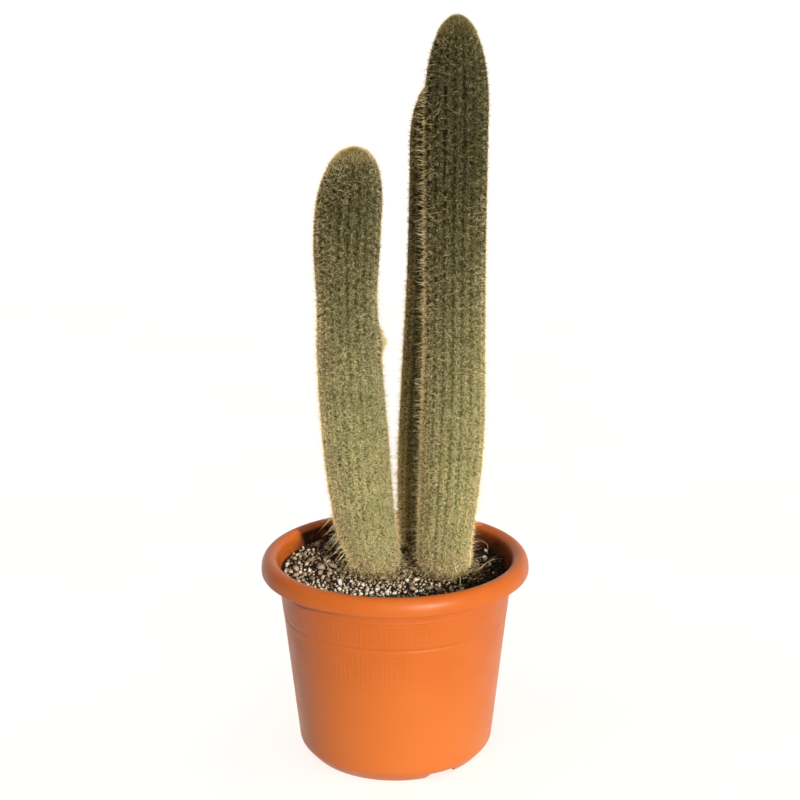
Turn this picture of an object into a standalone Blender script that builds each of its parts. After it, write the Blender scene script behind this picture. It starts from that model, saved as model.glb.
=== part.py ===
# Potted columnar cactus: three ribbed, spiny stems in gritty soil in a round plastic pot.
# Metres, +Z up. The origin is on the pot's axis, at the height the foot ring stands on.
# The front of the plant, as it is usually seen, faces -Y.
import math
import random

import bmesh
import bpy
from mathutils import Matrix, Vector

# Pot
RIM_RADIUS = 0.100          # of the rim's upright outer side
RIM_TOP = 0.154
RIM_SIDE_TOP = 0.1445       # the upright side turns into the rounded crown here
RIM_CROWN_RADIUS = 0.0935   # radius of the rim's highest circle
RIM_UNDER = 0.1410          # height of the rim's underside
RIM_CORNER = 0.0016         # rounding between the underside and the upright side
MOUTH_RADIUS = 0.0876
WALL_TOP_RADIUS = 0.0895    # where the wall meets the rim's underside
COVE_DEPTH = 0.0033         # how far the wall draws in below that
COVE_HEIGHT = 0.0120
COVE_POWER = 1.3            # above 1 the wall flares out more quickly towards the top
BAND_STEP_HEIGHT = 0.1097   # the ornament's upper band ends here in a small step
BAND_STEP = 0.0004
BASE_RADIUS = 0.0736
BASE_CORNER = 0.0105        # height of the sloping corner above the foot
FOOT_RADIUS = 0.0655        # outer edge of the flat foot ring
WALL = 0.0021
FLOOR_UNDER = 0.0045        # underside of the floor, above the foot ring
FLOOR_TOP = 0.0068
FLOOR_CORNER = 0.0140       # height where the inside wall slopes in to the floor
FLOOR_CORNER_RUN = 0.0050
FOOT_INNER_RADIUS = 0.0600
POT_SIDES = 48
DRAIN_HOLES = 5
DRAIN_HOLE_RADIUS = 0.0050
DRAIN_CIRCLE = 0.0420
NOTCHES = 3
NOTCH_ANGLE = 28.0          # of the first notch, in degrees to the right of the front
NOTCH_WIDTH = 0.0225
NOTCH_HEIGHT = 0.0054

# Soil
SOIL_TOP = 0.1400
SOIL_LUMP = 0.0012
GAP = 0.0003                # between pieces that touch
STEM_DEPTH = 0.0480         # how far each stem's rooted base goes into the soil
SOIL_RINGS = (1.0, 0.92, 0.82, 0.72, 0.61, 0.50, 0.38, 0.26, 0.13)
GRAINS = 40
GRAIN_RADIUS = 0.0030       # of a middling grain
GRAIN_SMALLEST = 0.65       # as shares of that
GRAIN_LARGEST = 1.2
GRAIN_SPREAD = 1.3          # how far grains stay apart, as a share of their radii
GRAIN_STEM_GAP = 0.0030

# Stems
RIB_DEPTH = 0.0027
BASE_PLUMB = 0.1425         # the rooted base is round and upright below this height
RIBS_START = 0.1432
RIBS_FULL = 0.1500
DOME_RINGS = 5
NEEDLE_ROW_PITCH = 0.040
NEEDLE_OUTSIDE = 0.0082
NEEDLE_SUNK = 0.0022
NEEDLE_ROOT = 0.00075       # radius round the needle's three-sided root
NEEDLE_FLANK = 0.22         # how far beside the crest it grows, as a share of half a rib
LOWEST_NEEDLES = 0.012      # needles this close above the soil lean upward
DOME_NEEDLES = 24
DOME_NEEDLE_SHARE = 0.75    # their length, as a share of the others'

# Each stem: axis points (height, x, y), rib crest radii (height, radius), bottom to top.
# The last height is where the dome starts, which then closes at the top.
STEMS = {
    "stem_tall": {
        "ribs": 20,
        "ring_pitch": 0.034,
        "axis": [(BASE_PLUMB, 0.0367, -0.0040), (0.165, 0.0371, -0.0040), (0.200, 0.0400, -0.0040),
                 (0.240, 0.0424, -0.0040), (0.300, 0.0434, -0.0040), (0.400, 0.0436, -0.0040),
                 (0.480, 0.0440, -0.0040), (0.543, 0.0441, -0.0040)],
        "crest": [(0.140, 0.0192), (0.165, 0.0199), (0.200, 0.0217), (0.240, 0.0229), (0.280, 0.0226),
                  (0.330, 0.0219), (0.400, 0.0219), (0.480, 0.0223)],
        "top": 0.5425,
        "blunt": 2.05,
        "buds": [],
        "seed": 11,
    },
    "stem_left": {
        "ribs": 22,
        "ring_pitch": 0.024,
        "axis": [(BASE_PLUMB, -0.0144, -0.0030), (0.152, -0.0160, -0.0030), (0.172, -0.0208, -0.0030),
                 (0.200, -0.0249, -0.0030), (0.240, -0.0284, -0.0030), (0.290, -0.0318, -0.0030),
                 (0.350, -0.0337, -0.0030), (0.400, -0.0326, -0.0030), (0.454, -0.0270, -0.0030)],
        "crest": [(0.140, 0.0174), (0.152, 0.0192), (0.172, 0.0217), (0.200, 0.0232), (0.240, 0.0241),
                  (0.290, 0.0235), (0.312, 0.0230), (0.345, 0.0216), (0.385, 0.0237), (0.402, 0.0237)],
        "top": 0.4535,
        "blunt": 2.3,
        "buds": [(0.3165, 0.0075, -8.0, 26.0, 0.0030)],
        "seed": 12,
    },
    "stem_back": {
        "ribs": 21,
        "ring_pitch": 0.042,
        "axis": [(BASE_PLUMB, 0.0233, 0.0500), (0.185, 0.0246, 0.0520), (0.225, 0.0261, 0.0545),
                 (0.300, 0.0298, 0.0560), (0.365, 0.0328, 0.0565), (0.450, 0.0338, 0.0565),
                 (0.495, 0.0338, 0.0565)],
        "crest": [(0.140, 0.0192), (0.185, 0.0217), (0.225, 0.0224), (0.300, 0.0222), (0.365, 0.0218),
                  (0.450, 0.0210)],
        "top": 0.4960,
        "blunt": 2.1,
        "buds": [],
        "seed": 13,
    },
}

# Colours
TERRACOTTA = (0.78, 0.22, 0.065)
SOIL_BROWN = (0.10, 0.070, 0.045)
CACTUS_GREEN = (0.20, 0.21, 0.095)


def clear_scene():
    for thing in list(bpy.data.objects):
        bpy.data.objects.remove(thing, do_unlink=True)


def make_material(name, colour, roughness):
    material = bpy.data.materials.new(name)
    material.use_nodes = True
    shader = material.node_tree.nodes["Principled BSDF"]
    shader.inputs["Base Color"].default_value = (*colour, 1.0)
    shader.inputs["Roughness"].default_value = roughness
    shader.inputs["Metallic"].default_value = 0.0
    material.diffuse_color = (*colour, 1.0)
    return material


def make_object(name, bm):
    mesh = bpy.data.meshes.new(name)
    bm.to_mesh(mesh)
    bm.free()
    thing = bpy.data.objects.new(name, mesh)
    bpy.context.scene.collection.objects.link(thing)
    return thing


def apply_boolean(target, tools, operation, solver="EXACT"):
    """Join or cut the target with all the tool objects at once, then remove the tools."""
    group = bpy.data.collections.new("tools")
    bpy.context.scene.collection.children.link(group)
    for tool in tools:
        for home in list(tool.users_collection):
            home.objects.unlink(tool)
        group.objects.link(tool)
    modifier = target.modifiers.new("tools", "BOOLEAN")
    modifier.operation = operation
    modifier.solver = solver
    modifier.operand_type = "COLLECTION"
    modifier.collection = group
    bpy.context.view_layer.objects.active = target
    bpy.ops.object.modifier_apply(modifier=modifier.name)
    for tool in tools:
        bpy.data.objects.remove(tool, do_unlink=True)
    bpy.data.collections.remove(group)


def smooth_shade(thing, degrees):
    thing.data.shade_smooth()
    thing.data.set_sharp_from_angle(angle=math.radians(degrees))


def along(keys, height, column=1):
    """Value at a height on a smooth curve through the keys, held level past both ends."""
    if height <= keys[0][0]:
        return keys[0][column]
    if height >= keys[-1][0]:
        return keys[-1][column]
    last = len(keys) - 1
    i = max(k for k in range(last) if keys[k][0] <= height)

    def slope(k):
        a = keys[max(k - 1, 0)]
        b = keys[min(k + 1, last)]
        return (b[column] - a[column]) / (b[0] - a[0])

    span = keys[i + 1][0] - keys[i][0]
    t = (height - keys[i][0]) / span
    return ((2 * t ** 3 - 3 * t ** 2 + 1) * keys[i][column]
            + (t ** 3 - 2 * t ** 2 + t) * span * slope(i)
            + (3 * t ** 2 - 2 * t ** 3) * keys[i + 1][column]
            + (t ** 3 - t ** 2) * span * slope(i + 1))


def ease(low, high, value):
    t = min(max((value - low) / (high - low), 0.0), 1.0)
    return t * t * (3.0 - 2.0 * t)


def arc(centre_r, centre_z, reach_r, reach_z, start, end, steps):
    """Points of an elliptical arc in the (radius, height) plane, angles in degrees."""
    points = []
    for k in range(steps + 1):
        a = math.radians(start + (end - start) * k / steps)
        points.append((centre_r + reach_r * math.cos(a), centre_z + reach_z * math.sin(a)))
    return points


def wall_radius(height):
    """Outer radius of the pot's plain wall below the rim."""
    top = WALL_TOP_RADIUS - COVE_DEPTH
    share = (height - BASE_CORNER) / (RIM_UNDER - COVE_HEIGHT - BASE_CORNER)
    return BASE_RADIUS + (top - BASE_RADIUS) * share


def inner_radius(height):
    return min(wall_radius(height) - WALL, MOUTH_RADIUS)


def spin_profile(points, name):
    """Turn an open profile that starts and ends on the axis into one closed body."""
    bm = bmesh.new()
    verts = [bm.verts.new((r, 0.0, z)) for r, z in points]
    edges = [bm.edges.new(pair) for pair in zip(verts, verts[1:])]
    bmesh.ops.spin(bm, geom=verts + edges, cent=(0, 0, 0), axis=(0, 0, 1), angle=2 * math.pi,
                   steps=POT_SIDES, use_merge=True)
    bmesh.ops.remove_doubles(bm, verts=bm.verts, dist=0.00001)
    bmesh.ops.recalc_face_normals(bm, faces=bm.faces)
    return make_object(name, bm)


def round_tool(name, radius, low, high, x, y, sides):
    bm = bmesh.new()
    bmesh.ops.create_cone(bm, cap_ends=True, segments=sides, radius1=radius, radius2=radius,
                          depth=high - low, matrix=Matrix.Translation((x, y, (low + high) / 2)))
    return make_object(name, bm)


def notch_tool(name, angle):
    """A block with sloping ends that lies across the foot ring, to cut a drainage notch."""
    bm = bmesh.new()
    bmesh.ops.create_cube(bm, size=1.0)
    for v in bm.verts:
        narrow = 0.80 if v.co.z > 0 else 1.20
        v.co = Vector((v.co.x * NOTCH_WIDTH * narrow, v.co.y * 0.030, (v.co.z + 0.5) * 2 * NOTCH_HEIGHT))
    turn = math.radians(angle)
    middle = (BASE_RADIUS + FOOT_INNER_RADIUS) / 2
    place = (Matrix.Rotation(turn, 4, "Z")
             @ Matrix.Translation((0.0, -middle, -NOTCH_HEIGHT)))
    bmesh.ops.transform(bm, matrix=place, verts=bm.verts)
    return make_object(name, bm)


def foot_corner():
    """Outer corner of the foot: a slope from the ring to the wall, rounded at both ends."""
    run = BASE_RADIUS - FOOT_RADIUS
    bends = ((0.0, 0.0), (0.13, 0.07), (0.55, 0.42), (0.90, 0.78), (1.0, 1.0))
    return [(FOOT_RADIUS + run * out, BASE_CORNER * up) for out, up in bends]


def rim_profile():
    """The wall's flared top, then the rim's underside, upright side, crown and roll into the mouth."""
    cove_low = RIM_UNDER - COVE_HEIGHT
    neck = WALL_TOP_RADIUS - COVE_DEPTH
    points = [(neck + COVE_DEPTH * up ** COVE_POWER, cove_low + COVE_HEIGHT * up) for up in (0.4, 0.7, 0.97)]
    points += arc(RIM_RADIUS - RIM_CORNER, RIM_UNDER + RIM_CORNER, RIM_CORNER, RIM_CORNER, -90, 0, 2)
    crown_out = RIM_RADIUS - RIM_CROWN_RADIUS
    points += arc(RIM_CROWN_RADIUS, RIM_SIDE_TOP, crown_out, RIM_TOP - RIM_SIDE_TOP, 0, 90, 4)
    inner_roll = RIM_CROWN_RADIUS - MOUTH_RADIUS
    points += arc(RIM_CROWN_RADIUS, RIM_TOP - inner_roll, inner_roll, inner_roll, 90, 180, 3)[1:]
    return points


def build_pot(material):
    cove_low = RIM_UNDER - COVE_HEIGHT
    profile = [(0.0, FLOOR_UNDER), (FOOT_INNER_RADIUS, FLOOR_UNDER), (FOOT_INNER_RADIUS + 0.0006, 0.0)]
    profile += foot_corner()
    profile += [(wall_radius(BAND_STEP_HEIGHT), BAND_STEP_HEIGHT - BAND_STEP),
                (wall_radius(BAND_STEP_HEIGHT) + BAND_STEP, BAND_STEP_HEIGHT + BAND_STEP),
                (wall_radius(cove_low) + BAND_STEP, cove_low)]
    profile += rim_profile()
    profile += [(inner_radius(cove_low), cove_low), (inner_radius(FLOOR_CORNER), FLOOR_CORNER),
                (inner_radius(FLOOR_CORNER) - FLOOR_CORNER_RUN, FLOOR_TOP), (0.0, FLOOR_TOP)]
    pot = spin_profile(profile, "pot")
    tools = []
    for k in range(DRAIN_HOLES):
        a = 2 * math.pi * k / DRAIN_HOLES
        tools.append(round_tool("drain", DRAIN_HOLE_RADIUS, FLOOR_UNDER - 0.003, FLOOR_TOP + 0.003,
                                DRAIN_CIRCLE * math.cos(a), DRAIN_CIRCLE * math.sin(a), 12))
    for k in range(NOTCHES):
        tools.append(notch_tool("notch", NOTCH_ANGLE + 360.0 * k / NOTCHES))
    apply_boolean(pot, tools, "DIFFERENCE")
    pot.data.materials.append(material)
    smooth_shade(pot, 35)
    return pot


def plug_radius(stem):
    return stem["crest"][0][1] - RIB_DEPTH * 0.35


def soil_height(x, y):
    """Uneven top of the soil, a little higher to the left and against the back."""
    wave = math.sin(x * 190.0 + 0.6) * math.cos(y * 165.0 - 0.4) + 0.6 * math.sin(x * 330.0 - y * 290.0)
    return SOIL_TOP + SOIL_LUMP * 0.6 * wave - 0.012 * x + 0.006 * y


def grain_tool(rng, x, y, size):
    bm = bmesh.new()
    bmesh.ops.create_icosphere(bm, subdivisions=1, radius=size)
    stretch = Vector((rng.uniform(0.85, 1.2), rng.uniform(0.8, 1.1), rng.uniform(0.7, 0.95)))
    for v in bm.verts:
        v.co = v.co * stretch * rng.uniform(0.9, 1.1)
    place = (Matrix.Translation((x, y, soil_height(x, y) + size * 0.25))
             @ Matrix.Rotation(rng.uniform(0, math.pi), 4, "Z"))
    bmesh.ops.transform(bm, matrix=place, verts=bm.verts)
    return make_object("grain", bm)


def build_soil(material):
    side = []
    for height in (FLOOR_CORNER + GAP * 1.7, 0.060, RIM_UNDER - COVE_HEIGHT):
        side.append((inner_radius(height) - GAP * 1.3, height))
    edge = inner_radius(SOIL_TOP) - GAP * 1.3
    profile = [(0.0, FLOOR_TOP + GAP), (side[0][0] - FLOOR_CORNER_RUN - GAP, FLOOR_TOP + GAP)] + side
    profile += [(edge * share, SOIL_TOP) for share in SOIL_RINGS]
    profile.append((0.0, SOIL_TOP))
    soil = spin_profile(profile, "soil")
    rng = random.Random(5)
    for v in soil.data.vertices:
        if v.co.z > SOIL_TOP - 0.001:
            v.co.z = soil_height(v.co.x, v.co.y) + SOIL_LUMP * rng.uniform(-0.45, 0.45)
    grains = []
    while len(grains) < GRAINS:
        far = math.sqrt(rng.uniform(0.02, 0.90)) * (edge - GRAIN_RADIUS)
        a = rng.uniform(0, 2 * math.pi)
        x, y = far * math.cos(a), far * math.sin(a)
        size = GRAIN_RADIUS * rng.uniform(GRAIN_SMALLEST, GRAIN_LARGEST)
        room = size * GRAIN_SPREAD
        clear_of_stems = all(
            math.dist((x, y), stem["axis"][0][1:]) > stem["crest"][0][1] + room + GRAIN_STEM_GAP
            for stem in STEMS.values())
        clear_of_wall = math.hypot(x, y) < edge - room
        apart = all(math.dist((x, y), spot[1]) > room + spot[2] * GRAIN_SPREAD for spot in grains)
        if clear_of_stems and clear_of_wall and apart:
            grains.append((grain_tool(rng, x, y, size), (x, y), size))
    apply_boolean(soil, [grain[0] for grain in grains], "UNION")
    holes = []
    for stem in STEMS.values():
        _, x, y = stem["axis"][0]
        holes.append(round_tool("hole", (plug_radius(stem) + GAP) / math.cos(math.pi / 24),
                                SOIL_TOP - STEM_DEPTH - GAP, SOIL_TOP + 0.02, x, y, 24))
    apply_boolean(soil, holes, "DIFFERENCE")
    soil.data.materials.append(material)
    smooth_shade(soil, 40)
    return soil


def crest_radius(stem, height):
    """Radius at the rib crests, which closes over the dome at the stem's tip."""
    start = stem["crest"][-1][0]
    if height <= start:
        return along(stem["crest"], height)
    rise = min((height - start) / (stem["top"] - start), 1.0)
    power = stem["blunt"]
    return stem["crest"][-1][1] * (1.0 - rise ** power) ** (1.0 / power)


def surface_radius(stem, height, angle):
    """Radius of the ribbed surface: round at the base, full ribs above, finer over the dome."""
    crest = crest_radius(stem, height)
    widest = stem["crest"][-1][1]
    dome = 1.0 if height <= stem["crest"][-1][0] else (crest / widest) ** 1.5
    depth = RIB_DEPTH * ease(RIBS_START, RIBS_FULL, height) * dome
    base = plug_radius(stem) - crest
    radius = crest + base * (1.0 - ease(RIBS_START, RIBS_FULL, height))
    radius -= depth * 0.5 * (1.0 - math.cos(stem["ribs"] * angle))
    for bud_height, bud_tall, bud_angle, bud_wide, bud_out in stem["buds"]:
        turn = (math.degrees(angle) - bud_angle + 180.0) % 360.0 - 180.0
        radius += bud_out * math.exp(-((height - bud_height) / bud_tall) ** 2 - (turn / bud_wide) ** 2)
    return radius


def axis_point(stem, height):
    return Vector((along(stem["axis"], height, 1), along(stem["axis"], height, 2), height))


def surface_point(stem, height, angle):
    radius = surface_radius(stem, height, angle)
    return axis_point(stem, height) + Vector((math.cos(angle), math.sin(angle), 0.0)) * radius


def ring_heights(stem):
    start = stem["crest"][-1][0]
    heights = [BASE_PLUMB, RIBS_START, (RIBS_START + RIBS_FULL) / 2, RIBS_FULL]
    count = round((start - RIBS_FULL) / stem["ring_pitch"])
    heights += [RIBS_FULL + (start - RIBS_FULL) * k / count for k in range(1, count + 1)]
    for bud in stem["buds"]:
        heights = [h for h in heights if abs(h - bud[0]) > bud[1] * 2]
        heights += [bud[0] - bud[1] * 1.5, bud[0] - bud[1] * 0.4, bud[0] + bud[1] * 0.5, bud[0] + bud[1] * 1.6]
    heights += [start + (stem["top"] - start) * math.sin(math.pi / 2 * k / (DOME_RINGS + 1))
                for k in range(1, DOME_RINGS + 1)]
    return sorted(heights)


def stem_body(name, stem):
    """Buried round base, ribbed column and dome, grown ring by ring from a disc."""
    sides = stem["ribs"] * 2
    bm = bmesh.new()
    bottom = SOIL_TOP - STEM_DEPTH
    ring = bmesh.ops.create_circle(bm, cap_ends=True, segments=sides, radius=plug_radius(stem))["verts"]
    centre = axis_point(stem, bottom)
    for k, v in enumerate(ring):
        a = 2 * math.pi * k / sides
        v.co = centre + Vector((math.cos(a), math.sin(a), 0.0)) * plug_radius(stem)
    edges = list(bm.edges)
    for height in ring_heights(stem):
        grown = bmesh.ops.extrude_edge_only(bm, edges=edges)["geom"]
        edges = [g for g in grown if isinstance(g, bmesh.types.BMEdge) and g.is_boundary]
        old_centre = centre
        centre = axis_point(stem, height)
        for v in [g for g in grown if isinstance(g, bmesh.types.BMVert)]:
            a = math.atan2(v.co.y - old_centre.y, v.co.x - old_centre.x)
            v.co = surface_point(stem, height, a)
    tip = bmesh.ops.extrude_edge_only(bm, edges=edges)["geom"]
    tip_verts = [g for g in tip if isinstance(g, bmesh.types.BMVert)]
    bmesh.ops.pointmerge(bm, verts=tip_verts, merge_co=axis_point(stem, stem["top"]))
    bmesh.ops.recalc_face_normals(bm, faces=bm.faces)
    return make_object(name, bm)


def needle_tool(root, direction, outside):
    """A three-sided needle whose root is sunk into the rib it grows from."""
    bm = bmesh.new()
    length = outside + NEEDLE_SUNK
    bmesh.ops.create_cone(bm, cap_ends=True, segments=3, radius1=NEEDLE_ROOT, radius2=0.0, depth=length)
    turn = direction.to_track_quat("Z", "Y").to_matrix().to_4x4()
    middle = root + direction * (length / 2 - NEEDLE_SUNK)
    bmesh.ops.transform(bm, matrix=Matrix.Translation(middle) @ turn, verts=bm.verts)
    return make_object("needle", bm)


def stem_needles(stem):
    """Needles in staggered rows along the rib crests, then a spiral of them over the dome."""
    rng = random.Random(stem["seed"])
    start = stem["crest"][-1][0]
    needles = []
    rows = int((start - RIBS_FULL) / NEEDLE_ROW_PITCH) + 1
    pitch = (start - RIBS_FULL) / rows
    for rib in range(stem["ribs"]):
        angle = 2 * math.pi * rib / stem["ribs"]
        for row in range(rows):
            height = RIBS_FULL + pitch * (row + (0.25, 0.75)[rib % 2] + rng.uniform(-0.12, 0.12))
            flank = angle + rng.choice((-1, 1)) * NEEDLE_FLANK * math.pi / stem["ribs"]
            outward = Vector((math.cos(angle), math.sin(angle), 0.0))
            sideways = Vector((-outward.y, outward.x, 0.0)) * rng.choice((-1, 1)) * rng.uniform(0.30, 0.55)
            upward = Vector((0, 0, 1)) * rng.choice((-0.45, 0.25, 0.5)) * rng.uniform(0.7, 1.2)
            if height < RIBS_FULL + LOWEST_NEEDLES:
                upward = Vector((0, 0, 0.45))
            needles.append(needle_tool(surface_point(stem, height, flank),
                                       (outward * 0.75 + sideways + upward).normalized(), NEEDLE_OUTSIDE))
    for k in range(DOME_NEEDLES):
        share = (k + 0.5) / DOME_NEEDLES
        height = start + (stem["top"] - start) * min(0.12 + 0.87 * share, 0.97)
        angle = k * math.radians(137.5)
        outward = Vector((math.cos(angle), math.sin(angle), 0.0))
        lean = (outward * (1.05 - share) + Vector((0, 0, 0.35 + share))).normalized()
        root = surface_point(stem, height, angle)
        needles.append(needle_tool(root, lean, NEEDLE_OUTSIDE * DOME_NEEDLE_SHARE))
    return needles


def build_stem(name, stem, material):
    body = stem_body(name, stem)
    apply_boolean(body, stem_needles(stem), "UNION", "MANIFOLD")
    body.data.materials.append(material)
    smooth_shade(body, 50)
    return body


def main():
    clear_scene()
    pot_material = make_material("terracotta_plastic", TERRACOTTA, 0.42)
    soil_material = make_material("gritty_soil", SOIL_BROWN, 0.95)
    stem_material = make_material("cactus_skin", CACTUS_GREEN, 0.70)
    build_pot(pot_material)
    build_soil(soil_material)
    for name, stem in STEMS.items():
        build_stem(name, stem, stem_material)


main()
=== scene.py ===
import math
import random

import bmesh
import bpy
import numpy as np
from mathutils import Matrix, Vector, noise


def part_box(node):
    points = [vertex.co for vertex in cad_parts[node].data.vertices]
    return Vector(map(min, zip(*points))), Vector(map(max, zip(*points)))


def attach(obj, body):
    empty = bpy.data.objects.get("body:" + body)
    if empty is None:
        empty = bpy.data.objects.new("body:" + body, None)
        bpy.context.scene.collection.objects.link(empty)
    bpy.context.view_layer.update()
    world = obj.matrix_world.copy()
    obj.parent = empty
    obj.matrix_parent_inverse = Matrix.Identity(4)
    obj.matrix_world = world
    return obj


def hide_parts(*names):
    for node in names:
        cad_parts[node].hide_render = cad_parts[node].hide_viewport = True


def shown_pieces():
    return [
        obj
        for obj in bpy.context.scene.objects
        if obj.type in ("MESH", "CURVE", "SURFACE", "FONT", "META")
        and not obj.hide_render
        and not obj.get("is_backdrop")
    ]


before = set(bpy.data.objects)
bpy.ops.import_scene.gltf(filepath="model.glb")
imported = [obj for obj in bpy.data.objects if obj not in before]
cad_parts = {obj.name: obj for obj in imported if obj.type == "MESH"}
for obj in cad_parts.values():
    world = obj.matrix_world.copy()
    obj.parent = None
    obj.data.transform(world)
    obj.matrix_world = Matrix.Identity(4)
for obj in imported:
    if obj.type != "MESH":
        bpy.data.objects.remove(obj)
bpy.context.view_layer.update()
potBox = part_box("pot")
print("frame loaded:", sorted(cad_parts))


# camera: stands 1.05 m in front of the pot's axis and looks a little down, with its angles in radians
photoView = {
    "eye": (-0.0107, -1.0505, 0.5387), "down": 0.2496, "turn": 0.0141, "roll": -0.0035,
    "lens": 66.83, "sensor": 36.0, "nearest": 0.05,
}


def makeCamera(view):
    down, turn, roll = view["down"], view["turn"], view["roll"]
    ahead = Vector((math.sin(turn) * math.cos(down), math.cos(turn) * math.cos(down), -math.sin(down)))
    right = Vector((math.cos(turn), -math.sin(turn), 0.0))
    up = right.cross(ahead)
    right, up = (right * math.cos(roll) + up * math.sin(roll), up * math.cos(roll) - right * math.sin(roll))
    data = bpy.data.cameras.new("camera")
    data.lens = view["lens"]
    data.sensor_width = view["sensor"]
    data.clip_start = view["nearest"]
    camera = bpy.data.objects.new("camera", data)
    axes = Matrix((right, up, -ahead)).transposed().to_4x4()
    camera.matrix_world = Matrix.Translation(view["eye"]) @ axes
    bpy.context.scene.collection.objects.link(camera)
    bpy.context.scene.camera = camera


makeCamera(photoView)


# node helpers
def newMaterial(name, values):
    material = bpy.data.materials.new(name)
    material.use_nodes = True
    shader = material.node_tree.nodes["Principled BSDF"]
    for socket, value in values.items():
        shader.inputs[socket].default_value = value
    return material, material.node_tree, shader


def addNode(tree, kind, settings, inputs):
    made = tree.nodes.new(kind)
    for key, value in settings.items():
        setattr(made, key, value)
    for key, value in inputs.items():
        if isinstance(value, bpy.types.NodeSocket):
            tree.links.new(value, made.inputs[key])
        else:
            made.inputs[key].default_value = value
    return made


def objectCoordinates(tree):
    return tree.nodes.new("ShaderNodeTexCoord").outputs["Object"]


def attribute(tree, name):
    return addNode(tree, "ShaderNodeAttribute", {"attribute_name": name}, {}).outputs["Fac"]


def noiseOf(tree, place, scale, detail=3.0, rough=0.55):
    made = addNode(tree, "ShaderNodeTexNoise", {},
                   {"Vector": place, "Scale": scale, "Detail": detail, "Roughness": rough})
    return made.outputs["Fac"]


def calc(tree, operation, first, second):
    made = addNode(tree, "ShaderNodeMath", {"operation": operation}, {0: first, 1: second})
    return made.outputs["Value"]


def spread(tree, value, low, high, toLow=0.0, toHigh=1.0):
    # eased from one share to the other while the value goes from low to high
    made = addNode(tree, "ShaderNodeMapRange", {"interpolation_type": "SMOOTHSTEP"},
                   {"Value": value, "From Min": low, "From Max": high, "To Min": toLow, "To Max": toHigh})
    return made.outputs["Result"]


def ramp(tree, value, stops):
    made = addNode(tree, "ShaderNodeValToRGB", {}, {"Fac": value})
    elements = made.color_ramp.elements
    elements[0].position, elements[0].color = stops[0][0], (*stops[0][1], 1.0)
    elements[1].position, elements[1].color = stops[-1][0], (*stops[-1][1], 1.0)
    for place, colour in stops[1:-1]:
        elements.new(place).color = (*colour, 1.0)
    return made.outputs["Color"]


def mixed(tree, share, first, second, blend="MIX"):
    # a Mix node has its two colours at inputs 6 and 7, and the mixed colour at output 2
    made = addNode(tree, "ShaderNodeMix", {"data_type": "RGBA", "blend_type": blend}, {0: share})
    for index, value in ((6, first), (7, second)):
        if isinstance(value, bpy.types.NodeSocket):
            tree.links.new(value, made.inputs[index])
        else:
            made.inputs[index].default_value = (*value, 1.0)
    return made.outputs[2]


def addBump(tree, shader, height, strength, distance):
    made = addNode(tree, "ShaderNodeBump", {}, {"Height": height, "Strength": strength, "Distance": distance})
    tree.links.new(made.outputs["Normal"], shader.inputs["Normal"])


# piece helpers
def meshObject(name, mesh, material):
    piece = bpy.data.objects.new(name, mesh)
    mesh.materials.append(material)
    bpy.context.scene.collection.objects.link(piece)
    return piece


def bmeshObject(name, bm, material):
    mesh = bpy.data.meshes.new(name)
    bm.to_mesh(mesh)
    bm.free()
    return meshObject(name, mesh, material)


def smoothShade(piece, sharpFrom):
    piece.data.shade_smooth()
    piece.data.set_sharp_from_angle(angle=math.radians(sharpFrom))


def settle(piece, slot, *replaced):
    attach(piece, "root")
    if replaced:
        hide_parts(*replaced)


def cutAway(piece, tools):
    group = bpy.data.collections.new("cutters")
    bpy.context.scene.collection.children.link(group)
    for tool in tools:
        bpy.context.scene.collection.objects.unlink(tool)
        group.objects.link(tool)
    cut = piece.modifiers.new("cut", "BOOLEAN")
    cut.operation = "DIFFERENCE"
    cut.solver = "EXACT"
    cut.operand_type = "COLLECTION"
    cut.collection = group
    with bpy.context.temp_override(object=piece, active_object=piece, selected_objects=[piece]):
        bpy.ops.object.modifier_apply(modifier=cut.name)
    for tool in tools:
        bpy.data.objects.remove(tool, do_unlink=True)
    bpy.data.collections.remove(group)


def along(keys, heights, column=1):
    # smooth curve through the keys, held level past both ends
    table = np.array(keys, float)
    x, y = table[:, 0], table[:, column]
    slope = np.empty(len(x))
    slope[1:-1] = (y[2:] - y[:-2]) / (x[2:] - x[:-2])
    slope[0] = (y[1] - y[0]) / (x[1] - x[0])
    slope[-1] = (y[-1] - y[-2]) / (x[-1] - x[-2])
    h = np.clip(heights, x[0], x[-1])
    i = np.clip(np.searchsorted(x, h, side="right") - 1, 0, len(x) - 2)
    span = x[i + 1] - x[i]
    t = (h - x[i]) / span
    return ((2 * t ** 3 - 3 * t ** 2 + 1) * y[i] + (t ** 3 - 2 * t ** 2 + t) * span * slope[i]
            + (3 * t ** 2 - 2 * t ** 3) * y[i + 1] + (t ** 3 - t ** 2) * span * slope[i + 1])


def ease(low, high, value):
    # 0 below low, 1 above high and smooth between them
    t = np.clip((value - low) / (high - low), 0.0, 1.0)
    return t * t * (3.0 - 2.0 * t)


def arc(centreR, centreZ, reachR, reachZ, start, end, steps):
    turns = [math.radians(start + (end - start) * k / steps) for k in range(steps + 1)]
    return [(centreR + reachR * math.cos(a), centreZ + reachZ * math.sin(a)) for a in turns]


def spinProfile(profile, steps):
    bm = bmesh.new()
    verts = [bm.verts.new((r, 0.0, z)) for r, z in profile]
    edges = [bm.edges.new(pair) for pair in zip(verts, verts[1:])]
    bmesh.ops.spin(bm, geom=verts + edges, cent=(0, 0, 0), axis=(0, 0, 1), angle=2 * math.pi,
                   steps=steps, use_merge=True)
    bmesh.ops.remove_doubles(bm, verts=bm.verts, dist=0.00001)      # closes the seam and the poles
    bmesh.ops.recalc_face_normals(bm, faces=bm.faces)
    return bm


def roundTool(radius, low, high, x, y, sides):
    bm = bmesh.new()
    bmesh.ops.create_cone(bm, cap_ends=True, segments=sides, radius1=radius, radius2=radius,
                          depth=high - low, matrix=Matrix.Translation((x, y, (low + high) / 2)))
    return bmeshObject("tool", bm, None)


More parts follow.
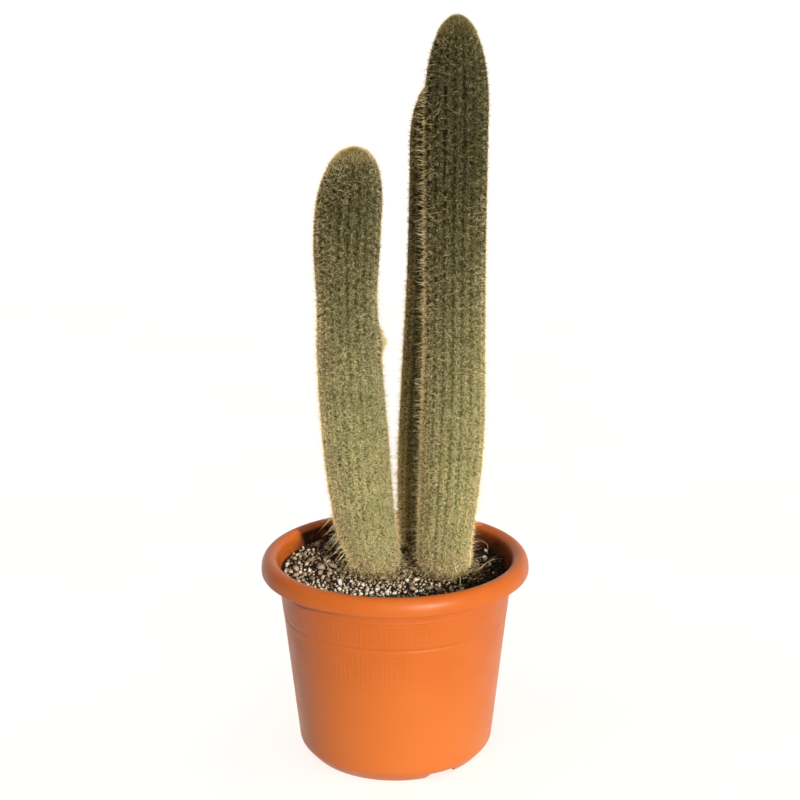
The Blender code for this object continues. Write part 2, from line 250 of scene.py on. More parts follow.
# pot: moulded plastic with a rolled rim and two bands of raised key pattern
potSizes = {
    "steps": 300, "wall": 0.0021, "sharpFrom": 48.0,
    "rimRadius": potBox[1].x, "rimTop": potBox[1].z, "rimSideTop": 0.1445, "crownRadius": 0.0935,
    "underRim": 0.1410, "rimCorner": 0.0016, "mouthRadius": 0.0876, "rimSteps": (8, 16, 9),
    "wallTopRadius": 0.0895, "ledge": ((0.0006, -0.0001), (0.0014, 0.0)),
    "coveDepth": 0.0033, "coveHeight": 0.0120, "covePower": 1.3,
    "coveSteps": (0.42, 0.55, 0.68, 0.80, 0.90, 0.965),
    "baseRadius": 0.0736, "baseCorner": 0.0105, "lowRings": (0.020, 0.035, 0.050, 0.065),
    # the rounded corner above the foot, in shares of its width and height
    "baseBend": ((0.0, 0.0), (0.07, 0.02), (0.15, 0.08), (0.35, 0.245), (0.55, 0.42), (0.80, 0.655),
                 (0.91, 0.79), (0.97, 0.90), (1.0, 1.03)),
    "footRadius": 0.0655, "footInner": 0.0600, "footCorner": (0.0008, 0.0007), "footEdge": (0.0006, 0.0004),
    "footFlat": 0.0011, "floorUnder": 0.0045, "floorTop": 0.0068, "floorMiddle": 0.030,
    "insideRings": (0.129, 0.100, 0.060), "insideCorner": 0.014, "insideBend": (0.0015, 0.0095),
    "insideFoot": 0.005,
    "grooveHeight": 0.1097, "grooveDepth": 0.0004, "grooveEdges": (-0.0012, -0.0005, 0.0003, 0.0010),
    "upperBand": (0.1117, 0.1297), "lowerBand": (0.0785, 0.1067), "bandStep": 0.0002, "bandBorder": 0.0006,
    "beadHeight": 0.1312, "beadOut": 0.0003, "beadHalf": 0.0008, "beadFlat": 0.0003,
    "upperRise": 0.00006, "lowerRise": 0.00005, "keyBevel": 0.00030, "keyWidth": 10, "keySkin": 0.001,
    "drainHoles": 5, "drainRadius": 0.0050, "drainCircle": 0.0420, "drainReach": 0.003, "drainSides": 32,
    "notches": 3, "notchAngle": 28.8, "notchWidth": 0.0250, "notchHeight": 0.0054, "notchTaper": 0.20,
    "notchReach": 0.030,
}
# one repeat of the running key, as corners on a grid of cells; the last corner starts the next repeat
upperKey = [(0, 0), (0, 8), (8, 8), (8, 2), (4, 2), (4, 4), (6, 4), (6, 6), (2, 6), (2, 0), (10, 0)]
lowerKey = [(0, 0), (0, 12), (8, 12), (8, 2), (4, 2), (4, 8), (6, 8), (6, 10), (2, 10), (2, 0), (10, 0)]


def wallRadius(height):
    s = potSizes
    top = s["wallTopRadius"] - s["coveDepth"]
    share = (height - s["baseCorner"]) / (s["underRim"] - s["coveHeight"] - s["baseCorner"])
    return s["baseRadius"] + (top - s["baseRadius"]) * share


def innerRadius(height):
    return min(wallRadius(height) - potSizes["wall"], potSizes["mouthRadius"])


def keyCells(corners):
    cells = set()
    for (x0, y0), (x1, y1) in zip(corners, corners[1:]):
        stepX = (x1 > x0) - (x1 < x0)
        stepY = (y1 > y0) - (y1 < y0)
        for k in range(max(abs(x1 - x0), abs(y1 - y0)) + 1):
            cells.add(((x0 + stepX * k) % potSizes["keyWidth"], y0 + stepY * k))
    return cells


def bandHeights(band, corners):
    rows = max(y for x, y in corners) + 1
    return [band[0] + (band[1] - band[0]) * k / rows for k in range(rows + 1)]


def potProfile():
    # from the middle of the underside, up the outside, over the rim and down to the middle of the floor
    s = potSizes
    under, inner = s["floorUnder"], s["footInner"]
    cornerIn, cornerDown = s["footCorner"]
    edgeOut, edgeUp = s["footEdge"]
    profile = [(0.0, under), (s["floorMiddle"], under), (inner - cornerIn, under),
               (inner, under - cornerDown), (inner + edgeOut, edgeUp), (inner + s["footFlat"], 0.0)]
    run = s["baseRadius"] - s["footRadius"]
    profile += [(s["footRadius"] + run * out, s["baseCorner"] * up) for out, up in s["baseBend"]]
    low, high = s["lowerBand"]
    rows = [low - s["bandBorder"], *bandHeights(s["lowerBand"], lowerKey), high + s["bandBorder"]]
    profile += [(wallRadius(z), z) for z in (*s["lowRings"], *rows)]
    groove = wallRadius(s["grooveHeight"])
    outs = (0.0, -s["grooveDepth"], -s["grooveDepth"], s["bandStep"])
    profile += [(groove + out, s["grooveHeight"] + up) for out, up in zip(outs, s["grooveEdges"])]
    profile += [(wallRadius(z) + s["bandStep"], z) for z in bandHeights(s["upperBand"], upperKey)]
    half, flat, beadOut = s["beadHalf"], s["beadFlat"], s["beadOut"]
    for rise, out in ((-half, 0.0), (-flat, beadOut), (flat, beadOut), (half, 0.0)):
        z = s["beadHeight"] + rise
        profile.append((wallRadius(z) + s["bandStep"] + out, z))
    neck = s["wallTopRadius"] - s["coveDepth"]
    profile += [(neck + s["coveDepth"] * up ** s["covePower"], s["underRim"] - s["coveHeight"] * (1.0 - up))
                for up in s["coveSteps"]]
    profile += [(s["wallTopRadius"] + out, s["underRim"] + up) for out, up in s["ledge"]]
    cornerSteps, sideSteps, rollSteps = s["rimSteps"]
    profile += arc(s["rimRadius"] - s["rimCorner"], s["underRim"] + s["rimCorner"], s["rimCorner"],
                   s["rimCorner"], -90, 0, cornerSteps)
    profile += arc(s["crownRadius"], s["rimSideTop"], s["rimRadius"] - s["crownRadius"],
                   s["rimTop"] - s["rimSideTop"], 0, 90, sideSteps)
    roll = s["crownRadius"] - s["mouthRadius"]
    profile += arc(s["crownRadius"], s["rimTop"] - roll, roll, roll, 90, 180, rollSteps)[1:]
    profile += [(innerRadius(z), z) for z in (*s["insideRings"], s["insideCorner"])]
    corner = innerRadius(s["insideCorner"])
    bendIn, bendHeight = s["insideBend"]
    profile += [(corner - bendIn, bendHeight), (corner - s["insideFoot"], s["floorTop"]),
                (s["floorMiddle"], s["floorTop"]), (0.0, s["floorTop"])]
    return profile


def raiseKey(bm, band, corners, rise):
    # the cells of the key come out of the wall together, with sloping sides
    s = potSizes
    cells = keyCells(corners)
    rows = bandHeights(band, corners)
    chosen = []
    for face in bm.faces:
        x, y, z = face.calc_center_median()
        if rows[0] < z < rows[-1] and math.hypot(x, y) > wallRadius(z) - s["keySkin"]:
            column = int((math.atan2(y, x) % (2 * math.pi)) / (2 * math.pi) * s["steps"])
            row = sum(1 for height in rows if height < z) - 1
            if (column % s["keyWidth"], row) in cells:
                chosen.append(face)
    bmesh.ops.inset_region(bm, faces=chosen, thickness=s["keyBevel"], depth=rise, use_boundary=True,
                           use_even_offset=True)


def notchTool(angle):
    s = potSizes
    bm = bmesh.new()
    bmesh.ops.create_cube(bm, size=1.0)
    for v in bm.verts:
        narrow = 1.0 - s["notchTaper"] if v.co.z > 0 else 1.0 + s["notchTaper"]
        v.co.x *= s["notchWidth"] * narrow
        v.co.y *= s["notchReach"]
        v.co.z = (v.co.z + 0.5) * 2 * s["notchHeight"]
    middle = (s["baseRadius"] + s["footInner"]) / 2
    turned = Matrix.Rotation(math.radians(angle), 4, "Z")
    place = turned @ Matrix.Translation((0.0, -middle, -s["notchHeight"]))
    bmesh.ops.transform(bm, matrix=place, verts=bm.verts)
    return bmeshObject("tool", bm, None)


# a noise has its scale, its detail and sometimes its roughness; a mask has where it starts and where it is
# full, then its two shares where they aren't 0 and 1
plasticLook = {
    "shine": 0.36, "gloss": (0.25, 0.80, 0.34, 0.47), "glossNoise": (55.0, 5.0, 0.65), "dirtAndShadeDulls": 0.4,
    "bodyNoise": (22.0, 4.0),
    "body": ((0.30, (0.690, 0.150, 0.017)), (0.52, (0.725, 0.162, 0.021)), (0.75, (0.760, 0.177, 0.026))),
    "foot": (0.830, 0.212, 0.036), "paintedBounceFade": (0.130, 0.020, 0.0, 0.7),
    "dirtAndShade": (0.036, 0.015, 0.008), "dirtAndShadeNoise": (120.0, 5.0), "dirtAndShadePatches": (0.22, 0.55, 0.55, 0.98),
    "insideWall": (0.0892, 0.0880), "aboveSoil": (0.1372, 0.1380),
    "lowDirtAndShade": (0.1520, 0.1425), "lowBehind": (0.010, 0.060, 0.10, 0.90),
    "backShadowTop": (0.1535, 0.1490), "backShadowBehind": (0.042, 0.054), "backShadowLeft": (0.030, 0.0),
    "rightDirtAndShade": (0.1550, 0.1445), "rightSide": (0.030, 0.065, 0.0, 0.85),
    "dust": (0.48, 0.25, 0.13), "dustNoise": (90.0, 6.0, 0.7), "dustSpots": (0.48, 0.78),
    "dustFade": (0.030, 0.002), "dustShare": 0.35,
    "grainNoise": (1400.0, 2.0), "rippleNoise": (45.0, 3.0), "rippleShare": 6.0, "bump": (0.25, 0.00006),
}


def potPlastic():
    look = plasticLook
    material, tree, shader = newMaterial("terracotta plastic", {"Specular IOR Level": look["shine"]})
    place = objectCoordinates(tree)
    axes = addNode(tree, "ShaderNodeSeparateXYZ", {}, {"Vector": place}).outputs
    flat = addNode(tree, "ShaderNodeCombineXYZ", {}, {"X": axes["X"], "Y": axes["Y"]}).outputs["Vector"]
    far = addNode(tree, "ShaderNodeVectorMath", {"operation": "LENGTH"}, {0: flat}).outputs["Value"]
    body = ramp(tree, noiseOf(tree, place, *look["bodyNoise"]), look["body"])
    # painted bounce light from the floor: the plastic is painted paler towards the foot
    body = mixed(tree, spread(tree, axes["Z"], *look["paintedBounceFade"]), body, look["foot"])
    # soil smears on the inside wall, thickest at the soil line, with painted shade: darker down into the pot,
    # a painted shadow of the left stem at the back left and painted shade at the back right
    inside = calc(tree, "MULTIPLY", spread(tree, far, *look["insideWall"]),
                  spread(tree, axes["Z"], *look["aboveSoil"]))
    # soil dirt at the back, also painted darker down towards the soil as shade
    low = calc(tree, "MULTIPLY", spread(tree, axes["Z"], *look["lowDirtAndShade"]),
               spread(tree, axes["Y"], *look["lowBehind"]))
    # painted shadow of the left stem on the back-left inside wall, up to the rim
    back = calc(tree, "MULTIPLY", spread(tree, axes["Y"], *look["backShadowBehind"]),
                spread(tree, axes["X"], *look["backShadowLeft"]))
    high = calc(tree, "MULTIPLY", back, spread(tree, axes["Z"], *look["backShadowTop"]))
    # painted shade on the back-right inside wall, darker down towards the soil
    right = calc(tree, "MULTIPLY", spread(tree, axes["X"], *look["rightSide"]),
                 spread(tree, axes["Z"], *look["rightDirtAndShade"]))
    reach = calc(tree, "MAXIMUM", right, calc(tree, "MAXIMUM", low, high))
    dirtAndShade = calc(tree, "MULTIPLY", calc(tree, "MULTIPLY", inside, reach),
                 spread(tree, noiseOf(tree, place, *look["dirtAndShadeNoise"]), *look["dirtAndShadePatches"]))
    body = mixed(tree, dirtAndShade, body, look["dirtAndShade"])
    # light dust low on the wall and in small spots
    dust = calc(tree, "MULTIPLY", spread(tree, axes["Z"], *look["dustFade"]),
                spread(tree, noiseOf(tree, place, *look["dustNoise"]), *look["dustSpots"]))
    body = mixed(tree, calc(tree, "MULTIPLY", dust, look["dustShare"]), body, look["dust"])
    tree.links.new(body, shader.inputs["Base Color"])
    gloss = spread(tree, noiseOf(tree, place, *look["glossNoise"]), *look["gloss"])
    gloss = calc(tree, "ADD", gloss, calc(tree, "MULTIPLY", dirtAndShade, look["dirtAndShadeDulls"]))
    tree.links.new(gloss, shader.inputs["Roughness"])
    grain = calc(tree, "ADD", noiseOf(tree, place, *look["grainNoise"]),
                 calc(tree, "MULTIPLY", noiseOf(tree, place, *look["rippleNoise"]), look["rippleShare"]))
    addBump(tree, shader, grain, *look["bump"])
    return material


def makePot():
    s = potSizes
    bm = spinProfile(potProfile(), s["steps"])
    raiseKey(bm, s["upperBand"], upperKey, s["upperRise"])
    raiseKey(bm, s["lowerBand"], lowerKey, s["lowerRise"])
    pot = bmeshObject("moulded_pot", bm, potPlastic())
    low, high = s["floorUnder"] - s["drainReach"], s["floorTop"] + s["drainReach"]
    tools = []
    for k in range(s["drainHoles"]):
        a = 2 * math.pi * k / s["drainHoles"]
        tools.append(roundTool(s["drainRadius"], low, high, s["drainCircle"] * math.cos(a),
                               s["drainCircle"] * math.sin(a), s["drainSides"]))
    tools += [notchTool(s["notchAngle"] + 360.0 * k / s["notches"]) for k in range(s["notches"])]
    cutAway(pot, tools)
    smoothShade(pot, s["sharpFrom"])
    settle(pot, "pot_plastic", "pot")
    print("pot:", len(pot.data.polygons), "faces")


makePot()


# the three stems, from the base up, with angles in degrees: axis (height, x, y), crest (height, rib crest
# radius), areoleGap (height, room between areoles on a rib), paleness (height, tone of the spines, bleached
# low down and painted darker up the stem as shade), sides (from and to which angle the spines are painted
# paler as glow at the edges or darker as shadow, and by how much), buds (height, half height, angle, half
# angle, how far out) and flank (long hairs that stand out from one side)
stems = {
    "tall": {
        "node": "stem_tall", "ribs": 20, "top": 0.5425, "blunt": 2.05, "seed": 31,
        "axis": [(0.1425, 0.0367, -0.0040), (0.165, 0.0371, -0.0040), (0.200, 0.0400, -0.0040),
                 (0.240, 0.0424, -0.0040), (0.300, 0.0434, -0.0040), (0.400, 0.0436, -0.0040),
                 (0.480, 0.0440, -0.0040), (0.543, 0.0441, -0.0040)],
        "crest": [(0.140, 0.0192), (0.165, 0.0199), (0.200, 0.0217), (0.240, 0.0229), (0.280, 0.0226),
                  (0.330, 0.0219), (0.400, 0.0219), (0.480, 0.0223)],
        "areoleGap": [(0.14, 0.0048), (0.22, 0.0051), (0.32, 0.0057), (0.42, 0.0066), (0.50, 0.0072),
                      (0.53, 0.0060), (0.543, 0.0030)],
        "buds": [], "warm": 0.15,
        "flank": {"count": 210, "height": (0.150, 0.510), "angle": (172.0, 203.0), "slant": (-0.45, 0.45),
                  "length": (0.0050, 0.0095), "width": (0.00019, 0.00027)},
        "paleness": [(0.14, 1.04), (0.20, 0.95), (0.30, 0.74), (0.38, 0.52), (0.46, 0.32), (0.54, 0.26)],
        # paler at both edges as painted glow through the hairs
        "sides": [(314.0, 400.0, 0.48), (145.0, 220.0, 0.34)],
    },
    "left": {
        "node": "stem_left", "ribs": 22, "top": 0.4535, "blunt": 2.3, "seed": 32,
        "axis": [(0.1425, -0.0144, -0.0030), (0.152, -0.0160, -0.0030), (0.172, -0.0208, -0.0030),
                 (0.200, -0.0249, -0.0030), (0.240, -0.0284, -0.0030), (0.290, -0.0318, -0.0030),
                 (0.350, -0.0337, -0.0030), (0.400, -0.0326, -0.0030), (0.454, -0.0270, -0.0030)],
        "crest": [(0.140, 0.0174), (0.152, 0.0192), (0.172, 0.0217), (0.200, 0.0232), (0.240, 0.0241),
                  (0.290, 0.0235), (0.312, 0.0230), (0.345, 0.0216), (0.385, 0.0237), (0.402, 0.0237)],
        "areoleGap": [(0.14, 0.0048), (0.22, 0.0050), (0.32, 0.0053), (0.40, 0.0060), (0.44, 0.0055),
                      (0.454, 0.0028)],
        "buds": [(0.3165, 0.0075, -8.0, 26.0, 0.0030)], "warm": 0.15,
        "flank": {"count": 24, "height": (0.150, 0.192), "angle": (188.0, 222.0), "slant": (-1.20, -0.55),
                  "length": (0.0110, 0.0185), "width": (0.00020, 0.00028)},
        "paleness": [(0.14, 1.22), (0.20, 1.18), (0.28, 0.90), (0.36, 0.63), (0.42, 0.50), (0.454, 0.52)],
        # paler at both edges as painted glow through the hairs
        "sides": [(314.0, 402.0, 0.55), (145.0, 222.0, 0.44)],
    },
    "back": {
        "node": "stem_back", "ribs": 21, "top": 0.4960, "blunt": 2.1, "seed": 33,
        "axis": [(0.1425, 0.0233, 0.0500), (0.185, 0.0246, 0.0520), (0.225, 0.0261, 0.0545),
                 (0.300, 0.0298, 0.0560), (0.365, 0.0328, 0.0565), (0.450, 0.0338, 0.0565),
                 (0.495, 0.0338, 0.0565)],
        "crest": [(0.140, 0.0192), (0.185, 0.0217), (0.225, 0.0224), (0.300, 0.0222), (0.365, 0.0218),
                  (0.450, 0.0210)],
        "areoleGap": [(0.14, 0.0048), (0.22, 0.0051), (0.32, 0.0056), (0.42, 0.0062), (0.48, 0.0060),
                      (0.496, 0.0030)],
        # the back stem's extra warmth is painted warm bounce light from the stems round it, and its side
        # towards the tall stem is painted shadow
        "buds": [], "warm": 0.75, "sides": [(222.0, 320.0, -0.62)],
        "flank": {"count": 120, "height": (0.150, 0.230), "angle": (170.0, 220.0), "slant": (-0.9, 0.1),
                  "length": (0.0050, 0.0090), "width": (0.00014, 0.00020)},
        "paleness": [(0.14, 1.00), (0.20, 0.95), (0.30, 0.78), (0.40, 0.58), (0.496, 0.32)],
    },
}
skinSizes = {
    "ribDepth": 0.0027, "ribsStart": 0.1432, "ribsFull": 0.1500, "footRibs": 0.60, "ribsDeepen": (0.18, 0.36),
    "plugInset": 0.35, "buriedTo": 0.0920, "cover": 0.0003, "footCover": 0.35, "tipCover": 0.6,
    "ringGap": 0.0024, "aroundRib": 6, "flankSamples": 400, "domeSamples": 120,
    "knob": 0.0007, "areoleAcross": 0.20, "areoleUp": 0.22,
}


def plugRadius(sizes):
    # the plain round foot of a stem, which goes into its hole in the soil
    return sizes["crest"][0][1] - skinSizes["ribDepth"] * skinSizes["plugInset"]


class Stem:
    # surface of one stem as a function of the length run up its flank and the angle round it

    def __init__(self, sizes):
        self.sizes = sizes
        domeStart = sizes["crest"][-1][0]
        low = np.linspace(skinSizes["ribsStart"], domeStart, skinSizes["flankSamples"])
        rise = np.sin(np.linspace(0.0, math.pi / 2, skinSizes["domeSamples"])[1:])
        self.heights = np.concatenate([low, domeStart + (sizes["top"] - domeStart) * rise])
        steps = np.hypot(np.diff(self.heights), np.diff(self.crest(self.heights)))
        self.runs = np.concatenate([[0.0], np.cumsum(steps)])
        gaps = along(sizes["areoleGap"], self.heights)
        counts = np.diff(self.runs) * 2.0 / (gaps[1:] + gaps[:-1])
        self.counts = np.concatenate([[0.0], np.cumsum(counts)])      # areoles passed on the way up

    def heightAt(self, run):
        return np.interp(run, self.runs, self.heights)

    def runAt(self, height):
        return np.interp(height, self.heights, self.runs)

    def crest(self, height):
        sizes = self.sizes
        start = sizes["crest"][-1][0]
        rise = np.clip((height - start) / (sizes["top"] - start), 0.0, 1.0)
        return along(sizes["crest"], height) * (1.0 - rise ** sizes["blunt"]) ** (1.0 / sizes["blunt"])

    def centre(self, height):
        axis = self.sizes["axis"]
        return np.stack([along(axis, height, 1), along(axis, height, 2), np.asarray(height, float)], -1)

    def skinRadius(self, height, angle, count):
        sizes, s = self.sizes, skinSizes
        crest = self.crest(height)
        domeStart, widest = sizes["crest"][-1]
        closing = np.where(height > domeStart, np.clip(crest / widest, 0.0, 1.0), 1.0)
        grown = ease(s["ribsStart"], s["ribsFull"], height)
        cover = s["cover"] * (s["footCover"] + (1.0 - s["footCover"]) * grown) * closing
        plug = plugRadius(sizes)
        half = sizes["ribs"] * angle / 2
        deep = s["footRibs"] + (1.0 - s["footRibs"]) * ease(*s["ribsDeepen"], height)      # old ribs even out
        furrow = s["ribDepth"] * deep * grown * closing ** 1.5 * (1.0 - np.abs(np.cos(half)))
        radius = plug + (crest - cover - plug) * grown - furrow
        radius = radius + s["knob"] * grown * closing * self.areole(angle, count)
        for budHeight, budTall, budAngle, budWide, budOut in sizes["buds"]:
            turn = (np.degrees(angle) - budAngle + 180.0) % 360.0 - 180.0
            radius = radius + budOut * np.exp(-((height - budHeight) / budTall) ** 2 - (turn / budWide) ** 2)
        return np.maximum(radius, 0.0)

    def areole(self, angle, count):
        # 1 at the middle of each areole and 0 between them; every other rib is half a step higher
        rib = np.round(self.sizes["ribs"] * angle / (2 * math.pi))
        across = self.sizes["ribs"] * angle / (2 * math.pi) - rib
        up = count - 0.5 * (rib % 2)
        up = up - np.round(up)
        return np.exp(-(across / skinSizes["areoleAcross"]) ** 2 - (up / skinSizes["areoleUp"]) ** 2)

    def point(self, run, angle):
        height = self.heightAt(run)
        radius = self.skinRadius(height, angle, np.interp(run, self.runs, self.counts))
        outward = np.stack([np.cos(angle), np.sin(angle), np.zeros_like(angle)], -1)
        return self.centre(height) + outward * radius[..., None]

    def normal(self, run, angle):
        # outward direction of the smooth column, without its ribs, from two heights a step apart
        step = 0.0006
        below, above = self.heightAt(run - step), self.heightAt(run + step)
        rise, out = above - below, self.crest(below) - self.crest(above)
        size = np.hypot(rise, out) + 1e-9
        return np.stack([np.cos(angle) * rise / size, np.sin(angle) * rise / size, out / size], -1)


# colours low and high on the stems, the high ones darker as painted shade, and noises and masks as for the
# pot
skinLook = {
    "shine": 0.08, "shadeUp": (0.16, 0.46), "green": ((0.370, 0.378, 0.162), (0.066, 0.066, 0.028)),
    "blotch": (0.055, 0.052, 0.014), "blotchNoise": (120.0, 4.0), "blotches": (0.35, 0.70, 0.0, 0.45),
    "gap": ((0.100, 0.100, 0.028), (0.010, 0.010, 0.003)), "gapNoise": (580.0, 2.0),
    "gaps": (0.485, 0.570, 0.0, 0.92),
    "cork": (0.210, 0.142, 0.064), "corkFade": (0.164, 0.146), "corkNoise": (210.0, 5.0),
    "corkPatches": (0.30, 0.60, 0.35, 1.0),
    "fleece": ((0.55, 0.48, 0.26), (0.075, 0.062, 0.028)), "fleeceFrom": (0.30, 0.95, 0.0, 0.8),
    "roughness": (0.1, 0.8, 0.50, 0.95), "bumpNoise": (1100.0, 3.0), "bump": (0.5, 0.0003),
}


def stemSkin():
    look = skinLook
    material, tree, shader = newMaterial("green skin", {"Specular IOR Level": look["shine"]})
    place = objectCoordinates(tree)
    wool = attribute(tree, "wool")
    height = addNode(tree, "ShaderNodeSeparateXYZ", {}, {"Vector": place}).outputs["Z"]
    blotch = noiseOf(tree, place, *look["blotchNoise"])
    # painted shade: the skin, its gaps and its fleece are painted darker up the stem
    shadeUp = spread(tree, height, *look["shadeUp"])
    green = mixed(tree, shadeUp, *look["green"])
    green = mixed(tree, spread(tree, blotch, *look["blotches"]), green, look["blotch"])
    gaps = spread(tree, noiseOf(tree, place, *look["gapNoise"]), *look["gaps"])
    green = mixed(tree, gaps, green, mixed(tree, shadeUp, *look["gap"]))
    # straw-brown corky skin just above the soil
    cork = calc(tree, "MULTIPLY", spread(tree, height, *look["corkFade"]),
                spread(tree, noiseOf(tree, place, *look["corkNoise"]), *look["corkPatches"]))
    green = mixed(tree, cork, green, look["cork"])
    fleece = mixed(tree, shadeUp, *look["fleece"])
    colour = mixed(tree, spread(tree, wool, *look["fleeceFrom"]), green, fleece)
    tree.links.new(colour, shader.inputs["Base Color"])
    tree.links.new(spread(tree, wool, *look["roughness"]), shader.inputs["Roughness"])
    addBump(tree, shader, noiseOf(tree, place, *look["bumpNoise"]), *look["bump"])
    return material


def makeSkin(name, stem, material):
    sizes, s = stem.sizes, skinSizes
    sides = sizes["ribs"] * s["aroundRib"]
    angles = 2 * math.pi * np.arange(sides) / sides
    rings = round(stem.runs[-1] / s["ringGap"])
    runs = stem.runs[-1] * (np.arange(rings) / rings)
    plug = plugRadius(sizes)
    bm = bmesh.new()
    woolLayer = bm.verts.layers.float.new("wool")
    ring = bmesh.ops.create_circle(bm, cap_ends=True, segments=sides, radius=plug)["verts"]
    foot = Vector(stem.centre(s["buriedTo"]))
    for v, a in zip(ring, angles):
        v.co = foot + Vector((math.cos(a), math.sin(a), 0.0)) * plug
    edges = list(bm.edges)
    indexOf = {v: k for k, v in enumerate(ring)}
    for run in runs:
        grown = bmesh.ops.extrude_edge_only(bm, edges=edges)["geom"]
        newEdges = [g for g in grown if isinstance(g, bmesh.types.BMEdge)]
        points = stem.point(np.full(sides, run), angles)
        count = np.interp(run, stem.runs, stem.counts)
        wools = stem.areole(angles, np.full(sides, count))
        newIndex = {}
        for v in [g for g in grown if isinstance(g, bmesh.types.BMVert)]:
            below = next(e.other_vert(v) for e in v.link_edges if e.other_vert(v) in indexOf)
            k = indexOf[below]
            newIndex[v] = k
            v.co = points[k]
            v[woolLayer] = wools[k]
        edges = [e for e in newEdges if e.verts[0] in newIndex and e.verts[1] in newIndex]
        indexOf = newIndex
    tip = bmesh.ops.extrude_edge_only(bm, edges=edges)["geom"]
    tipVerts = [g for g in tip if isinstance(g, bmesh.types.BMVert)]
    summit = Vector(stem.centre(sizes["top"])) - Vector((0.0, 0.0, s["cover"] * s["tipCover"]))
    bmesh.ops.pointmerge(bm, verts=tipVerts, merge_co=summit)
    bmesh.ops.recalc_face_normals(bm, faces=bm.faces)
    for face in bm.faces:
        face.smooth = True
    piece = bmeshObject("skin_" + name, bm, material)
    settle(piece, "cactus_skin", sizes["node"])
    print("skin", name, len(piece.data.polygons), "faces")


skinMaterial = stemSkin()
stemShapes = {name: Stem(sizes) for name, sizes in stems.items()}
for name, stem in stemShapes.items():
    makeSkin(name, stem, skinMaterial)


def shapeOf(bm):
    # corners and triangles of a small shape that is going to be repeated
    bm.verts.index_update()
    points = np.array([v.co for v in bm.verts])
    faces = np.array([[v.index for v in f.verts] for f in bm.faces])
    bm.free()
    return points, faces


# spines and hairs: a closed three-sided spike, straight or with one bend, is repeated from every areole
def spikeTemplate(bends):
    bm = bmesh.new()
    bmesh.ops.create_cone(bm, cap_ends=True, segments=3, radius1=1.0, radius2=0.0, depth=1.0,
                          matrix=Matrix.Translation((0.0, 0.0, 0.5)))
    for k in range(bends):
        cut = (k + 1) / (bends + 1)
        bmesh.ops.bisect_plane(bm, geom=bm.verts[:] + bm.edges[:] + bm.faces[:], plane_co=(0, 0, cut),
                               plane_no=(0, 0, 1))
    for v in bm.verts:
        if 0.01 < v.co.z < 0.99:      # a bent spike stays thick up to its bend
            fuller = (1.0 - 0.30 * v.co.z) / (1.0 - v.co.z)
            v.co = Vector((v.co.x * fuller, v.co.y * fuller, v.co.z))
    bmesh.ops.triangulate(bm, faces=bm.faces)
    return shapeOf(bm)


straightSpike = spikeTemplate(0)
bentSpike = spikeTemplate(1)


def unit(v):
    return v / np.maximum(np.linalg.norm(v, axis=-1, keepdims=True), 1e-9)


def repeatedMesh(name, points, faces, attributes):
    mesh = bpy.data.meshes.new(name)
    mesh.vertices.add(len(points))
    mesh.vertices.foreach_set("co", points.astype(np.float32).ravel())
    mesh.loops.add(faces.size)
    mesh.loops.foreach_set("vertex_index", faces.astype(np.int32).ravel())
    mesh.polygons.add(len(faces))
    mesh.polygons.foreach_set("loop_start", np.arange(0, faces.size, 3, dtype=np.int32))
    mesh.update(calc_edges=True)
    for label, values in attributes.items():
        layer = mesh.attributes.new(label, "FLOAT", "POINT")
        layer.data.foreach_set("value", values.astype(np.float32).ravel())
    mesh.validate()
    return mesh


def makeSpikes(name, template, hairs, material):
    # each hair has a root, direction, length, width, bend (how far the tip is pulled aside), tone and warmth
    shape, faces = template
    along01 = shape[:, 2]
    ahead = unit(hairs["direction"])
    level = np.abs(ahead[:, 2:3]) < 0.8
    side = unit(np.cross(ahead, np.where(level, np.array([[0.0, 0.0, 1.0]]), np.array([[1.0, 0.0, 0.0]]))))
    other = np.cross(ahead, side)
    length = hairs["length"][:, None, None]
    width = hairs["width"][:, None, None]
    points = (hairs["root"][:, None, :] + ahead[:, None, :] * length * along01[None, :, None]
              + hairs["bend"][:, None, :] * (along01 ** 2)[None, :, None]
              + (side[:, None, :] * shape[None, :, 0:1] + other[:, None, :] * shape[None, :, 1:2]) * width)
    total = len(hairs["root"])
    offsets = (np.arange(total) * len(shape))[:, None, None]
    values = {key: np.repeat(hairs[key], len(shape)) for key in ("tone", "warm")}
    values["along"] = np.tile(along01, total)
    mesh = repeatedMesh(name, points.reshape(-1, 3), (faces[None] + offsets).reshape(-1, 3), values)
    settle(meshObject(name, mesh, material), "cactus_skin")
    print(name, total, "spikes,", len(mesh.polygons), "faces")


def joined(groups):
    return {key: np.concatenate([g[key] for g in groups]) for key in groups[0]}


# tone runs from dark to pale, and warm is how golden a spine is
spineLook = {
    "roughness": 0.55, "shine": 0.12,
    "tones": ((0.0, (0.024, 0.022, 0.009)), (0.25, (0.113, 0.108, 0.049)), (0.50, (0.308, 0.300, 0.166)),
              (0.75, (0.615, 0.605, 0.390)), (1.0, (0.980, 0.970, 0.700))),
    "warmth": ((1.0, 1.0, 1.0), (1.10, 0.86, 0.64)),
    "patchNoise": (45.0, 3.0), "patches": (0.30, 0.72, 0.85, 1.12), "rootShadeTipGlow": (0.0, 0.9, 0.48, 1.32),
}


def spineMaterial():
    look = spineLook
    material, tree, shader = newMaterial("straw spines", {"Roughness": look["roughness"],
                                                          "Specular IOR Level": look["shine"]})
    place = objectCoordinates(tree)
    colour = ramp(tree, attribute(tree, "tone"), look["tones"])
    # standing spines and wool are more golden than the flat grey-green ones
    warmth = mixed(tree, attribute(tree, "warm"), *look["warmth"])
    colour = mixed(tree, 1.0, colour, warmth, "MULTIPLY")
    # painted shade darkens each spine at its root and painted glow brightens its tip, with paler and darker
    # patches along the stem
    shade = calc(tree, "MULTIPLY", spread(tree, noiseOf(tree, place, *look["patchNoise"]), *look["patches"]),
                 spread(tree, attribute(tree, "along"), *look["rootShadeTipGlow"]))
    grey = addNode(tree, "ShaderNodeCombineColor", {}, {0: shade, 1: shade, 2: shade}).outputs[0]
    tree.links.new(mixed(tree, 1.0, colour, grey, "MULTIPLY"), shader.inputs["Base Color"])
    return material


